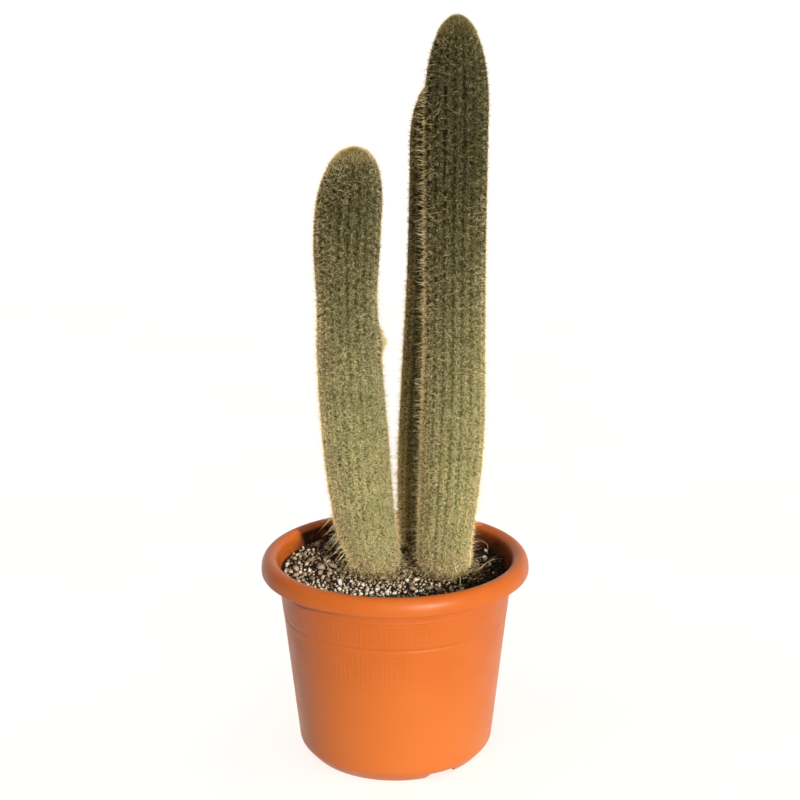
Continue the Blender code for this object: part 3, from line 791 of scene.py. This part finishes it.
# counts are per areole, and for the crown and the bud in all; lift is in radians off the skin
spineSizes = {
    "flat": {"count": 20, "length": (0.0026, 0.0048), "width": (0.00014, 0.00025), "lift": (0.04, 0.55),
             "tone": (-0.14, 0.20), "warm": (0.0, 0.12), "pull": 0.14, "strewn": 0.0003},
    "fuzz": {"count": 17, "length": (0.0028, 0.0049), "width": (0.00012, 0.00018), "lift": (0.75, 1.40),
             "tone": (0.24, 0.12), "warm": (0.45, 1.00), "pull": 0.12, "strewn": 0.0012},
    "crossing": {"count": 1, "length": (0.0038, 0.0060), "width": (0.00009, 0.00013), "lift": (0.20, 0.55),
                 "tone": (0.08, 0.14), "warm": (0.0, 0.25), "pull": 0.18, "strewn": 0.0010},
    "long": {"count": 1, "length": (0.0080, 0.0125), "width": (0.00009, 0.00013), "lift": (0.95, 1.40),
             "tone": (0.50, 0.10), "warm": (0.1, 0.4), "pull": 0.05, "strewn": 0.0},
    "crown": {"count": 2600, "length": (0.0012, 0.0027), "width": (0.00012, 0.00020), "reach": 0.020,
              "outward": 0.7, "upward": (0.1, 0.9), "aside": 0.3, "bend": 0.10, "tone": (0.0, 0.06),
              "warm": (0.5, 1.0)},
    "budTuft": {"count": 420, "length": (0.0026, 0.0052), "width": (0.00010, 0.00018), "spread": 0.55,
                "up": 0.45, "round": 0.38, "bend": 0.12, "tone": (0.10, 0.12), "warm": (0.4, 0.9)},
}
hairSizes = {
    "sunk": 0.0003, "roundAreole": (0.0001, 0.0007), "areoleTone": 0.08, "curl": (0.3, 1.0), "waver": 0.05,
    "fullCrest": 0.018, "leastCrest": 0.004, "closedTo": 0.30, "tipLength": 0.30,
    "longest": 1.18, "lessAlong": 0.42,
    "ribRoom": 0.0035, "leastKept": 0.12, "strayUp": 0.04, "strayRound": 0.012,
    "flankTone": (0.60, 0.12), "sideEdge": 20.0,
}


def spinesFrom(rng, stem, run, angle, sizes):
    # every areole sends spines out round its own middle, lifted a little from the skin
    h = hairSizes
    perRoot, strewn = sizes["count"], sizes["strewn"]
    total = len(run) * perRoot
    areoleTone = np.repeat(rng.normal(0.0, h["areoleTone"], len(run)), perRoot)
    run = np.repeat(run, perRoot) + rng.normal(0.0, strewn, total)
    run = np.clip(run, 0.0, stem.runs[-1] * 0.999)
    crest = stem.crest(stem.heightAt(run))
    angle = np.repeat(angle, perRoot) + rng.normal(0.0, strewn, total) / np.maximum(crest, h["leastCrest"])
    closing = np.clip(crest / h["fullCrest"], h["closedTo"], 1.0)      # shorter spines where the tip closes
    across = np.stack([-np.sin(angle), np.cos(angle), np.zeros(total)], -1)
    outward = stem.normal(run, angle)
    upward = np.cross(outward, across)
    turn = np.tile(np.arange(perRoot), total // perRoot) + rng.uniform(-0.5, 0.5, total)
    way = turn / perRoot * 2 * math.pi
    lift = rng.uniform(*sizes["lift"], total)
    flat = across * np.cos(way)[:, None] + upward * np.sin(way)[:, None]
    direction = flat * np.cos(lift)[:, None] + outward * np.sin(lift)[:, None]
    apart = rng.uniform(*h["roundAreole"], total)[:, None]
    root = stem.point(run, angle) + flat * apart - outward * h["sunk"]
    # longer across than along the rib, so that the furrows are bridged
    bridging = h["longest"] - h["lessAlong"] * np.abs(np.sin(way))
    shorter = h["tipLength"] + (1.0 - h["tipLength"]) * closing
    length = rng.uniform(*sizes["length"], total) * shorter * bridging
    bend = -outward * (length * rng.uniform(*h["curl"], total) * sizes["pull"])[:, None]
    bend = bend + rng.normal(0.0, h["waver"], (total, 3)) * length[:, None]
    tone = sizes["tone"][0] + areoleTone + rng.normal(0.0, sizes["tone"][1], total)
    width = rng.uniform(*sizes["width"], total)
    return {"root": root, "direction": direction, "length": length, "width": width, "bend": bend,
            "tone": tone, "warm": rng.uniform(*sizes["warm"], total)}


def areoles(rng, stem):
    # places of the areoles up every rib, some of them left out where the ribs run together at the tip
    h = hairSizes
    runs, angles = [], []
    ribs = stem.sizes["ribs"]
    for rib in range(ribs):
        counts = np.arange(0.5, stem.counts[-1] - 0.2, 1.0) + 0.5 * (rib % 2)
        counts = counts + rng.normal(0.0, h["strayUp"], len(counts))
        run = np.interp(counts, stem.counts, stem.runs)
        room = 2 * math.pi * stem.crest(stem.heightAt(run)) / ribs
        keep = rng.uniform(0.0, 1.0, len(run)) < np.clip(room / h["ribRoom"], h["leastKept"], 1.0)
        runs.append(run[keep])
        stray = rng.normal(0.0, h["strayRound"], keep.sum())
        angles.append(np.full(keep.sum(), 2 * math.pi * rib / ribs) + stray)
    return np.concatenate(runs), np.concatenate(angles)


def woolHairs(rng, root, direction, length, sizes):
    # the rest of each hair of the crown or the bud, once its place is known
    total = len(root)
    width = rng.uniform(*sizes["width"], total)
    bend = rng.normal(0.0, sizes["bend"], (total, 3)) * length[:, None]
    tone = rng.normal(*sizes["tone"], total)
    return {"root": root, "direction": direction, "length": length, "width": width, "bend": bend,
            "tone": tone, "warm": rng.uniform(*sizes["warm"], total)}


def crownWool(rng, stem, sizes):
    # short dense hairs that close over the growing tip
    total = sizes["count"]
    run = stem.runs[-1] - sizes["reach"] * np.sqrt(rng.uniform(0.0002, 1.0, total))
    angle = rng.uniform(0, 2 * math.pi, total)
    outward = stem.normal(run, angle)
    across = np.stack([-np.sin(angle), np.cos(angle), np.zeros(total)], -1)
    upward = np.cross(outward, across)
    direction = outward * sizes["outward"] + upward * rng.uniform(*sizes["upward"], total)[:, None]
    direction = direction + across * rng.normal(0, sizes["aside"], total)[:, None]
    length = rng.uniform(*sizes["length"], total)
    root = stem.point(run, angle) - outward * hairSizes["sunk"]
    return woolHairs(rng, root, direction, length, sizes)


def budTuft(rng, stem, bud, sizes):
    budHeight, budTall, budAngle, budWide, _ = bud
    total = sizes["count"]
    run = stem.runAt(budHeight + rng.normal(0.0, budTall * sizes["up"], total))
    angle = np.radians(budAngle + rng.normal(0.0, budWide * sizes["round"], total))
    outward = stem.normal(run, angle)
    length = rng.uniform(*sizes["length"], total)
    direction = outward + rng.normal(0.0, sizes["spread"], (total, 3))
    root = stem.point(run, angle) - outward * hairSizes["sunk"]
    return woolHairs(rng, root, direction, length, sizes)


def flankHairs(rng, stem, sizes):
    # long straight hairs that stand out from one flank
    total = sizes["count"]
    run = stem.runAt(rng.uniform(*sizes["height"], total))
    angle = np.radians(rng.uniform(*sizes["angle"], total))
    slant = np.array([0.0, 0.0, 1.0]) * rng.uniform(*sizes["slant"], total)[:, None]
    length = rng.uniform(*sizes["length"], total)
    width = rng.uniform(*sizes["width"], total)
    return {"root": stem.point(run, angle), "direction": stem.normal(run, angle) + slant, "length": length,
            "width": width, "bend": np.zeros((total, 3)), "tone": rng.normal(*hairSizes["flankTone"], total),
            "warm": np.zeros(total)}


def bleachedAndShaded(hairs, stem):
    # old spines low on the stem are bleached, new growth near the tip is dark, and the spines are also
    # painted darker up the stem as shade
    height, edge = hairs["root"][:, 2], hairSizes["sideEdge"]
    pale = along(stem.sizes["paleness"], height)
    outward = hairs["root"] - stem.centre(height)
    angle = np.degrees(np.arctan2(outward[:, 1], outward[:, 0]))
    # painted light by the angle round the stem: a gain above 0 paints glow at the edges, a gain below 0
    # paints the tall stem's shadow on the back stem
    for start, end, gain in stem.sizes["sides"]:
        inside = (angle - start) % 360.0
        share = np.clip(inside / edge, 0.0, 1.0) * np.clip((end - start - inside) / edge, 0.0, 1.0)
        pale = pale * (1.0 + gain * share)
    hairs["tone"] = np.clip(pale + hairs["tone"], 0.0, 1.0)
    hairs["warm"] = np.clip(hairs["warm"] + stem.sizes["warm"], 0.0, 1.0)
    return hairs


def makeSpines(name, stem, material):
    rng = np.random.default_rng(stem.sizes["seed"])
    run, angle = areoles(rng, stem)
    flat, fuzz, crossing, long = (spinesFrom(rng, stem, run, angle, spineSizes[kind])
                                  for kind in ("flat", "fuzz", "crossing", "long"))
    crown = crownWool(rng, stem, spineSizes["crown"])
    tufts = [budTuft(rng, stem, bud, spineSizes["budTuft"]) for bud in stem.sizes["buds"]]
    flank = flankHairs(rng, stem, stem.sizes["flank"])
    pieces = (("spines_", straightSpike, flat), ("fuzz_", straightSpike, joined([fuzz, crown])),
              ("hairs_", bentSpike, joined([crossing, *tufts])),
              ("long_spines_", straightSpike, joined([long, flank])))
    for kind, template, hairs in pieces:
        makeSpikes(kind + name, template, bleachedAndShaded(hairs, stem), material)


strawSpines = spineMaterial()
for name, stem in stemShapes.items():
    makeSpines(name, stem, strawSpines)


# soil: a lumpy plug under loose grit
soilSizes = {
    "top": 0.1400, "lump": 0.0012, "rough": 0.0011, "settled": 0.0004, "steps": 144, "rings": 44,
    "slope": (-0.012, 0.006), "gap": 0.0003, "sideGap": 1.3, "cornerIn": 0.0056,
    "sideRings": (0.0145, 0.060, 0.100, 0.129, 0.137),
    "stemDepth": 0.0480, "holeAbove": 0.02, "holeSides": 72, "sharpFrom": 50.0,
}
soilLook = {
    "roughness": 0.97, "shine": 0.15, "noise": (420.0, 6.0, 0.7), "bumpNoise": (700.0, 5.0, 0.7),
    "bump": (0.8, 0.0008),
    "colours": ((0.32, (0.012, 0.009, 0.007)), (0.50, (0.046, 0.031, 0.021)), (0.66, (0.120, 0.082, 0.054)),
                (0.80, (0.240, 0.175, 0.120))),
}


def soilHeight(x, y):
    # two crossing waves on a surface that slopes up to the left and the back
    wave = math.sin(x * 190.0 + 0.6) * math.cos(y * 165.0 - 0.4) + 0.6 * math.sin(x * 330.0 - y * 290.0)
    slopeX, slopeY = soilSizes["slope"]
    return soilSizes["top"] + soilSizes["lump"] * 0.6 * wave + slopeX * x + slopeY * y


def soilMaterial():
    look = soilLook
    material, tree, shader = newMaterial("potting soil", {"Roughness": look["roughness"],
                                                          "Specular IOR Level": look["shine"]})
    place = objectCoordinates(tree)
    colour = ramp(tree, noiseOf(tree, place, *look["noise"]), look["colours"])
    tree.links.new(colour, shader.inputs["Base Color"])
    addBump(tree, shader, noiseOf(tree, place, *look["bumpNoise"]), *look["bump"])
    return material


def makeSoil():
    s = soilSizes
    edge = innerRadius(s["top"]) - s["gap"]
    floor = potSizes["floorTop"] + s["gap"]
    corner = innerRadius(s["sideRings"][0]) - s["cornerIn"]
    profile = [(0.0, floor), (potSizes["floorMiddle"], floor), (corner, floor)]
    profile += [(innerRadius(z) - s["gap"] * s["sideGap"], z) for z in s["sideRings"]]
    profile += [(edge * (1.0 - k / s["rings"]), s["top"]) for k in range(s["rings"])]
    profile.append((0.0, s["top"]))
    bm = spinProfile(profile, s["steps"])
    for v in bm.verts:
        if v.co.z > s["top"] - 0.001:
            rough = noise.fractal(v.co * 260.0, 1.0, 2.0, 3) * s["rough"]
            v.co.z = soilHeight(v.co.x, v.co.y) + rough - s["settled"]
    soil = bmeshObject("soil_plug", bm, soilMaterial())
    low, high = s["top"] - s["stemDepth"] - s["gap"], s["top"] + s["holeAbove"]
    cutAway(soil, [roundTool(plugRadius(sizes) + s["gap"], low, high, *sizes["axis"][0][1:], s["holeSides"])
                   for sizes in stems.values()])
    smoothShade(soil, s["sharpFrom"])
    settle(soil, "gritty_soil", "soil")
    print("soil:", len(soil.data.polygons), "faces")


makeSoil()


# grit: pale and brown grains laid on the soil without piling up, with dust between them
gritKinds = {
    # how common on the left and on the right, half sizes, how flat, how uneven, and how many corners
    "perlite": {"left": 0.09, "right": 0.008, "size": (0.0009, 0.0021), "flat": 0.85, "rough": 0.38,
                "corners": 10},
    "pumice": {"left": 0.21, "right": 0.020, "size": (0.0009, 0.0031), "flat": 0.75, "rough": 0.50,
               "corners": 9},
    "bark": {"left": 0.54, "right": 0.120, "size": (0.0014, 0.0052), "flat": 0.60, "rough": 0.52,
             "corners": 9},
    "husk": {"left": 0.08, "right": 0.020, "size": (0.0009, 0.0027), "flat": 0.40, "rough": 0.60,
             "corners": 10},
    "crumbs": {"left": 0.18, "right": 0.832, "size": (0.0008, 0.0023), "flat": 0.70, "rough": 0.50,
               "corners": 9},
    "dust": {"left": 0.0, "right": 0.0, "size": (0.0004, 0.0009), "flat": 0.80, "rough": 0.40, "corners": 6},
}
gritSizes = {
    "tries": 14000, "spacing": 0.74, "dust": 2400, "shapes": 14, "seed": 7, "sunk": 0.60, "shrink": 0.40,
    "cell": 0.004, "edgeGap": 0.0006, "stemGap": 0.0005, "stemRoom": 0.5, "chosenTone": 0.8,
    "cornerTurn": 2.4, "cornerStray": 0.35, "longer": 1.15, "tilt": 0.60,
    "stretch": ((0.80, 1.25), (0.75, 1.05), (0.8, 1.1)),
    "paleUpTo": 0.022, "darkFrom": 0.052, "dulled": 0.5,
    "litterReach": 0.014, "moreHusk": 0.90,
    "frontFrom": -0.030, "frontMore": {"pumice": 0.50, "perlite": 0.48},
}
# single grains that catch the eye: place and half size
chosenGrains = {
    "perlite": [
        (0.0084, -0.0266, 0.0024), (0.0150, -0.0247, 0.0023), (0.0060, -0.0150, 0.0019),
        (0.0690, 0.0205, 0.0035), (-0.0407, -0.0312, 0.0032), (-0.0404, -0.0436, 0.0026),
        (-0.0327, -0.0284, 0.0019), (-0.0238, -0.0366, 0.0022), (-0.0251, -0.0530, 0.0026),
        (-0.0179, -0.0514, 0.0021), (-0.0134, -0.0447, 0.0023), (-0.0065, -0.0507, 0.0026),
        (-0.0012, -0.0520, 0.0021), (0.0148, -0.0488, 0.0021), (0.0298, -0.0428, 0.0019),
        (-0.0706, -0.0098, 0.0024), (-0.0640, -0.0074, 0.0022), (-0.0630, 0.0376, 0.0017),
        (-0.0668, 0.0377, 0.0018), (-0.0712, 0.0430, 0.0015), (-0.0812, 0.0074, 0.0020)],
    "pumice": [(0.0065, -0.0481, 0.0022), (-0.0810, -0.0053, 0.0021), (-0.0620, 0.0234, 0.0023)],
    "bark": [(-0.0556, -0.0040, 0.0046), (-0.0571, 0.0167, 0.0030), (-0.0680, 0.0235, 0.0026),
             (-0.0740, -0.0180, 0.0030)],
}


def chipShapes(kind, sizes):
    # each chip is the hull of a few corners spread round a ball
    s = gritSizes
    rng = random.Random(len(kind))
    shapes = []
    for _ in range(s["shapes"]):
        bm = bmesh.new()
        for corner in range(sizes["corners"]):
            z = 1.0 - 2.0 * (corner + 0.5) / sizes["corners"]
            turn = corner * s["cornerTurn"] + rng.uniform(-s["cornerStray"], s["cornerStray"])
            wide = math.sqrt(1.0 - z * z)
            out = 1.0 - sizes["rough"] * rng.uniform(0.0, 1.0)
            x = wide * math.cos(turn) * s["longer"] * out
            bm.verts.new((x, wide * math.sin(turn) * out, z * sizes["flat"] * out))
        hull = bmesh.ops.convex_hull(bm, input=bm.verts[:])
        bmesh.ops.delete(bm, geom=[g for g in hull["geom_interior"] if isinstance(g, bmesh.types.BMVert)],
                         context="VERTS")
        bmesh.ops.triangulate(bm, faces=bm.faces[:])
        bmesh.ops.recalc_face_normals(bm, faces=bm.faces[:])
        shapes.append(shapeOf(bm))
    return shapes


def toRight(x):
    s = gritSizes
    return min(max((x - s["paleUpTo"]) / (s["darkFrom"] - s["paleUpTo"]), 0.0), 1.0)


def awayFromStems(x, y):
    return min(math.dist((x, y), sizes["axis"][0][1:]) - sizes["crest"][0][1] for sizes in stems.values())


def cellOf(x, y):
    return int(x // gritSizes["cell"]), int(y // gritSizes["cell"])


def droppedAt(rng, reach):
    far = math.sqrt(rng.uniform(0.0, 1.0)) * reach
    a = rng.uniform(0, 2 * math.pi)
    return far, far * math.cos(a), far * math.sin(a)


def gritSpots():
    s = gritSizes
    rng = random.Random(s["seed"])
    edge = innerRadius(soilSizes["top"]) - s["edgeGap"]
    spots = [(kind, *grain, s["chosenTone"]) for kind, grains in chosenGrains.items() for grain in grains]
    cells = {}
    for spot in spots:
        cells.setdefault(cellOf(*spot[1:3]), []).append(spot)
    for attempt in range(s["tries"]):
        far, x, y = droppedAt(rng, edge)
        away = awayFromStems(x, y)
        right = toRight(x)
        shares = {kind: k["left"] * (1 - right) + k["right"] * right for kind, k in gritKinds.items()}
        if away < s["litterReach"]:
            shares["husk"] += s["moreHusk"]
        if y < s["frontFrom"]:
            for kind, more in s["frontMore"].items():
                shares[kind] += more * (1 - right)
        kind = rng.choices(list(shares), list(shares.values()))[0]
        size = rng.uniform(*gritKinds[kind]["size"]) * (1.0 - s["shrink"] * attempt / s["tries"])
        column, row = cellOf(x, y)
        near = [spot for i in range(-2, 3) for j in range(-2, 3)
                for spot in cells.get((column + i, row + j), [])]
        clear = far + size < edge and away > size * s["stemRoom"]
        if clear and all(math.dist((x, y), spot[1:3]) > (size + spot[3]) * s["spacing"] for spot in near):
            spot = (kind, x, y, size, rng.uniform(0, 1))
            cells.setdefault((column, row), []).append(spot)
            spots.append(spot)
    for _ in range(s["dust"]):
        far, x, y = droppedAt(rng, edge - s["edgeGap"])
        if awayFromStems(x, y) > s["stemGap"]:
            spots.append(("dust", x, y, rng.uniform(*gritKinds["dust"]["size"]), rng.uniform(0, 1)))
    return spots


# dark, middle and pale colour, roughness, and how fine the pores are
gritLooks = {
    "perlite": ((0.55, 0.48, 0.38), (0.82, 0.76, 0.65), (0.95, 0.92, 0.85), 0.85, 1500.0),
    "pumice": ((0.28, 0.20, 0.13), (0.64, 0.50, 0.35), (0.90, 0.79, 0.62), 0.92, 1300.0),
    "bark": ((0.060, 0.036, 0.025), (0.29, 0.195, 0.140), (0.66, 0.51, 0.37), 0.90, 800.0),
    "husk": ((0.26, 0.150, 0.070), (0.64, 0.44, 0.245), (0.90, 0.70, 0.45), 0.85, 1000.0),
    "crumbs": ((0.008, 0.006, 0.005), (0.034, 0.022, 0.016), (0.130, 0.088, 0.060), 0.97, 1200.0),
    "dust": ((0.012, 0.009, 0.007), (0.110, 0.075, 0.052), (0.62, 0.50, 0.38), 0.95, 1500.0),
}
gritFinish = {"shine": 0.2, "pores": (4.0, 0.7), "toneShare": 0.55, "poreShare": 0.62,
              "stops": (0.15, 0.50, 0.90), "bump": (0.7, 0.0005)}


def gritMaterial(kind):
    look = gritFinish
    *colours, rough, scale = gritLooks[kind]
    material, tree, shader = newMaterial(kind, {"Roughness": rough, "Specular IOR Level": look["shine"]})
    pores = noiseOf(tree, objectCoordinates(tree), scale, *look["pores"])
    value = calc(tree, "ADD", calc(tree, "MULTIPLY", attribute(tree, "tone"), look["toneShare"]),
                 calc(tree, "MULTIPLY", pores, look["poreShare"]))
    colour = ramp(tree, value, tuple(zip(look["stops"], colours)))
    tree.links.new(colour, shader.inputs["Base Color"])
    addBump(tree, shader, pores, *look["bump"])
    return material


def makeGrit():
    g = gritSizes
    spots = gritSpots()
    rng = np.random.default_rng(g["seed"])
    for kind, sizes in gritKinds.items():
        shapes = chipShapes(kind, sizes)
        chosen = [spot[1:] for spot in spots if spot[0] == kind]
        points, faces, tones = [], [], []
        used = 0
        for n, (x, y, size, tone) in enumerate(chosen):
            shape, shapeFaces = shapes[n % len(shapes)]
            turn = Matrix.Rotation(rng.uniform(0, 2 * math.pi), 3, "Z")
            turn = turn @ Matrix.Rotation(rng.normal(0.0, g["tilt"]), 3, "X")
            turn = turn @ Matrix.Rotation(rng.normal(0.0, g["tilt"]), 3, "Y")
            stretch = np.array([rng.uniform(*limits) for limits in g["stretch"]])
            place = np.array([x, y, soilHeight(x, y) + size * sizes["flat"] * g["sunk"]])
            points.append((shape * stretch * size) @ np.array(turn).T + place)
            faces.append(shapeFaces + used)
            dulled = 0.0 if kind in ("perlite", "pumice") else g["dulled"] * toRight(x)
            tones.append(np.full(len(shape), tone * (1.0 - dulled)))
            used += len(shape)
        mesh = repeatedMesh("grit_" + kind, np.concatenate(points), np.concatenate(faces),
                            {"tone": np.concatenate(tones)})
        settle(meshObject("grit_" + kind, mesh, gritMaterial(kind)), "gritty_soil")
        print(kind, len(chosen), "grains,", len(mesh.polygons), "faces")


makeGrit()


# litter: dropped spines round the stems, and a few roots and fibres
litterSizes = {
    "count": 1350, "seed": 5, "length": (0.0028, 0.0078), "width": (0.00013, 0.00022), "edge": 0.078,
    "nearest": 0.0178, "reach": 0.0055, "lift": (0.0010, 0.0032), "tilt": (0.03, 0.16),
    "leaning": 0.0040, "leanTilt": (0.0, 1.1), "bend": 0.10, "tone": (0.50, 1.00), "warm": (0.4, 1.0),
}


def makeLitter():
    s = litterSizes
    rng = np.random.default_rng(s["seed"])
    bases = np.array([sizes["axis"][0][1:] for sizes in stems.values()])
    centre = bases[rng.integers(0, len(bases), s["count"])]
    turn = rng.uniform(0, 2 * math.pi, s["count"])
    far = s["nearest"] + np.abs(rng.normal(0.0, s["reach"], s["count"]))
    spot = centre + np.stack([np.cos(turn), np.sin(turn)], -1) * far[:, None]
    clear = [math.hypot(x, y) < s["edge"] and awayFromStems(x, y) > gritSizes["stemGap"] for x, y in spot]
    spot = spot[clear]
    total = len(spot)
    root = np.array([(x, y, soilHeight(x, y)) for x, y in spot])
    root[:, 2] += rng.uniform(*s["lift"], total)
    heading = rng.uniform(0, 2 * math.pi, total)
    leaning = np.array([awayFromStems(x, y) for x, y in spot]) < s["leaning"]      # on the foot of a stem
    tilt = rng.normal(*s["tilt"], total) + leaning * rng.uniform(*s["leanTilt"], total)
    direction = np.stack([np.cos(heading), np.sin(heading), tilt], -1)
    length = rng.uniform(*s["length"], total)
    width = rng.uniform(*s["width"], total)
    bend = rng.normal(0.0, s["bend"], (total, 3)) * length[:, None]
    tone = rng.uniform(*s["tone"], total)
    makeSpikes("fallen_spines", bentSpike,
               {"root": root, "direction": direction, "length": length, "width": width, "bend": bend,
                "tone": tone, "warm": rng.uniform(*s["warm"], total)}, strawSpines)


threadSizes = {"sides": 6, "steps": 14, "taper": 0.45}
threads = [
    {"radius": 0.00022, "dark": 0.0,
     "points": [(0.0585, 0.0300, 0.1410), (0.0610, 0.0340, 0.1475), (0.0668, 0.0345, 0.1492),
                (0.0718, 0.0335, 0.1462), (0.0712, 0.0276, 0.1415)]},
    {"radius": 0.00026, "dark": 0.0,
     "points": [(0.0660, 0.0005, 0.1420), (0.0745, 0.0075, 0.1440), (0.0825, 0.0138, 0.1420)]},
    {"radius": 0.00048, "dark": 0.0,
     "points": [(-0.0508, 0.0123, 0.1460), (-0.0522, 0.0020, 0.1458), (-0.0486, -0.0103, 0.1420)]},
    {"radius": 0.00030, "dark": 0.0,
     "points": [(0.0186, -0.0302, 0.1440), (0.0228, -0.0260, 0.1458), (0.0269, -0.0219, 0.1470)]},
    {"radius": 0.00036, "dark": 0.0,
     "points": [(0.0470, -0.0340, 0.1465), (0.0467, -0.0410, 0.1448), (0.0462, -0.0475, 0.1415)]},
    {"radius": 0.00024, "dark": 0.0,
     "points": [(0.0600, -0.0110, 0.1420), (0.0655, -0.0070, 0.1442), (0.0690, -0.0010, 0.1446),
                (0.0705, 0.0060, 0.1420)]},
    {"radius": 0.00080, "dark": 1.0,
     "points": [(0.0686, 0.0037, 0.1425), (0.0728, 0.0092, 0.1440), (0.0783, 0.0126, 0.1445),
                (0.0835, 0.0150, 0.1430)]},
    {"radius": 0.00022, "dark": 0.0,
     "points": [(-0.0580, 0.0330, 0.1425), (-0.0480, 0.0300, 0.1475), (-0.0390, 0.0330, 0.1450),
                (-0.0330, 0.0390, 0.1425)]},
]


def fibre():
    material, tree, shader = newMaterial("dry fibre", {"Roughness": 0.8, "Specular IOR Level": 0.2})
    straw = ramp(tree, noiseOf(tree, objectCoordinates(tree), 260.0, 4.0),
                 ((0.32, (0.34, 0.25, 0.15)), (0.68, (0.78, 0.69, 0.50))))
    colour = mixed(tree, attribute(tree, "dark"), straw, (0.050, 0.030, 0.020))
    tree.links.new(colour, shader.inputs["Base Color"])
    return material


def addThread(bm, darkLayer, thread):
    # a round tube along a smooth curve through the points, a little thinner at its far end
    sides, steps = threadSizes["sides"], threadSizes["steps"]
    keys = [(k / (len(thread["points"]) - 1), *p) for k, p in enumerate(thread["points"])]
    places = np.linspace(0.0, 1.0, steps)
    path = np.stack([along(keys, places, column) for column in (1, 2, 3)], -1)
    ahead = unit(np.gradient(path, axis=0))
    side = unit(np.cross(ahead, np.array([0.31, 0.19, 0.93])))
    other = np.cross(ahead, side)
    lastEdges = []
    for k in range(steps):
        radius = thread["radius"] * (1.0 - threadSizes["taper"] * places[k])
        isEnd = k in (0, steps - 1)
        ring = bmesh.ops.create_circle(bm, cap_ends=isEnd, segments=sides, radius=radius)["verts"]
        for j, v in enumerate(ring):
            a = 2 * math.pi * j / sides
            v.co = path[k] + radius * (side[k] * math.cos(a) + other[k] * math.sin(a))
            v[darkLayer] = thread["dark"]
        edges = list({edge for v in ring for edge in v.link_edges})
        if lastEdges:
            bmesh.ops.bridge_loops(bm, edges=lastEdges + edges)
        lastEdges = edges


def makeThreads():
    bm = bmesh.new()
    darkLayer = bm.verts.layers.float.new("dark")
    for thread in threads:
        addThread(bm, darkLayer, thread)
    bmesh.ops.recalc_face_normals(bm, faces=bm.faces)
    piece = bmeshObject("root_threads", bm, fibre())
    piece.data.shade_smooth()
    settle(piece, "gritty_soil")
    print("threads:", len(piece.data.polygons), "faces")


makeLitter()
makeThreads()


# floor and backdrop: one pale sheet that curves up behind
backdrop = {"half": 3.2, "front": -3.0, "bend": 1.9, "radius": 1.2, "steps": 16, "top": 3.6,
            "tones": ((0.3, (0.86, 0.86, 0.85)), (0.7, (0.89, 0.89, 0.88)))}


def makeBackdrop():
    b = backdrop
    bm = bmesh.new()
    profile = [(b["front"], 0.0), (b["bend"], 0.0)]
    profile += [(b["bend"] + b["radius"] * math.sin(a), b["radius"] * (1 - math.cos(a)))
                for a in [math.pi / 2 * (k + 1) / b["steps"] for k in range(b["steps"])]]
    profile.append((b["bend"] + b["radius"], b["top"]))
    verts = [bm.verts.new((-b["half"], y, z)) for y, z in profile]
    edges = [bm.edges.new(pair) for pair in zip(verts, verts[1:])]
    grown = bmesh.ops.extrude_edge_only(bm, edges=edges)["geom"]
    newVerts = [g for g in grown if isinstance(g, bmesh.types.BMVert)]
    bmesh.ops.translate(bm, vec=(2 * b["half"], 0, 0), verts=newVerts)
    bmesh.ops.recalc_face_normals(bm, faces=bm.faces)
    material, tree, shader = newMaterial("pale floor", {"Roughness": 0.9, "Specular IOR Level": 0.1})
    tone = ramp(tree, noiseOf(tree, objectCoordinates(tree), 3.0, 2.0), b["tones"])
    tree.links.new(tone, shader.inputs["Base Color"])
    floor = bmeshObject("floor", bm, material)
    floor.data.shade_smooth()
    floor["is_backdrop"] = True
    return floor


floor = makeBackdrop()


# light: one low warm key from the right of the camera, a pale surround, a lamp for the floor alone, and
# glows for the hairs; a turn is in degrees round from the front, and soft is how wide the sun looks
lighting = {
    "keyTurn": 27.0, "keyRise": 17.4, "keyStrength": 3.12, "keySoft": 1.5, "keyColour": (1.0, 0.95, 0.84),
    "surround": 0.300, "surroundColour": (1.0, 0.965, 0.90),
    "floorRise": 60.0, "floorStrength": 3.2, "floorSoft": 20.0, "floorColour": (1.0, 1.0, 1.0),
    "glowColour": (1.0, 0.85, 0.61), "glowRise": 16.0,
    "glows": {"left edge": (-122.0, 2.2, 12.0), "right edge": (112.0, 3.0, 12.0),
              "left front": (-52.0, 1.70, 20.0)},
}


def makeSun(name, turn, rise, strength, soft, colour, receivers):
    data = bpy.data.lights.new(name, "SUN")
    data.energy = strength
    data.angle = math.radians(soft)
    data.color = colour
    lamp = bpy.data.objects.new(name, data)
    a, e = math.radians(turn), math.radians(rise)
    toLight = Vector((math.sin(a) * math.cos(e), -math.cos(a) * math.cos(e), math.sin(e)))
    lamp.matrix_world = toLight.to_track_quat("Z", "Y").to_matrix().to_4x4()
    bpy.context.scene.collection.objects.link(lamp)
    group = bpy.data.collections.new(name + " lights")
    for thing in receivers:
        group.objects.link(thing)
    lamp.light_linking.receiver_collection = group
    return lamp


def lightScene():
    s = lighting
    makeSun("key", s["keyTurn"], s["keyRise"], s["keyStrength"], s["keySoft"], s["keyColour"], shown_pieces())
    # sunlight that comes through the hairs at the edges of the stems
    hairy = [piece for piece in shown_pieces() if piece.name.startswith(("spines", "fuzz", "hairs", "long"))]
    for name, (turn, strength, soft) in s["glows"].items():
        makeSun(name, turn, s["glowRise"], strength, soft, s["glowColour"], hairy)
    floorLamp = makeSun("floor lamp", 0.0, s["floorRise"], s["floorStrength"], s["floorSoft"],
                        s["floorColour"], [floor])
    floorLamp.data.use_shadow = False
    floor.visible_diffuse = False        # the bright floor doesn't wash out the shadows on the plant
    world = bpy.data.worlds.new("surround")
    world.use_nodes = True
    sky = world.node_tree.nodes["Background"]
    sky.inputs["Color"].default_value = (*s["surroundColour"], 1.0)
    sky.inputs["Strength"].default_value = s["surround"]
    bpy.context.scene.world = world
    bpy.context.scene.view_settings.view_transform = "Standard"


lightScene()
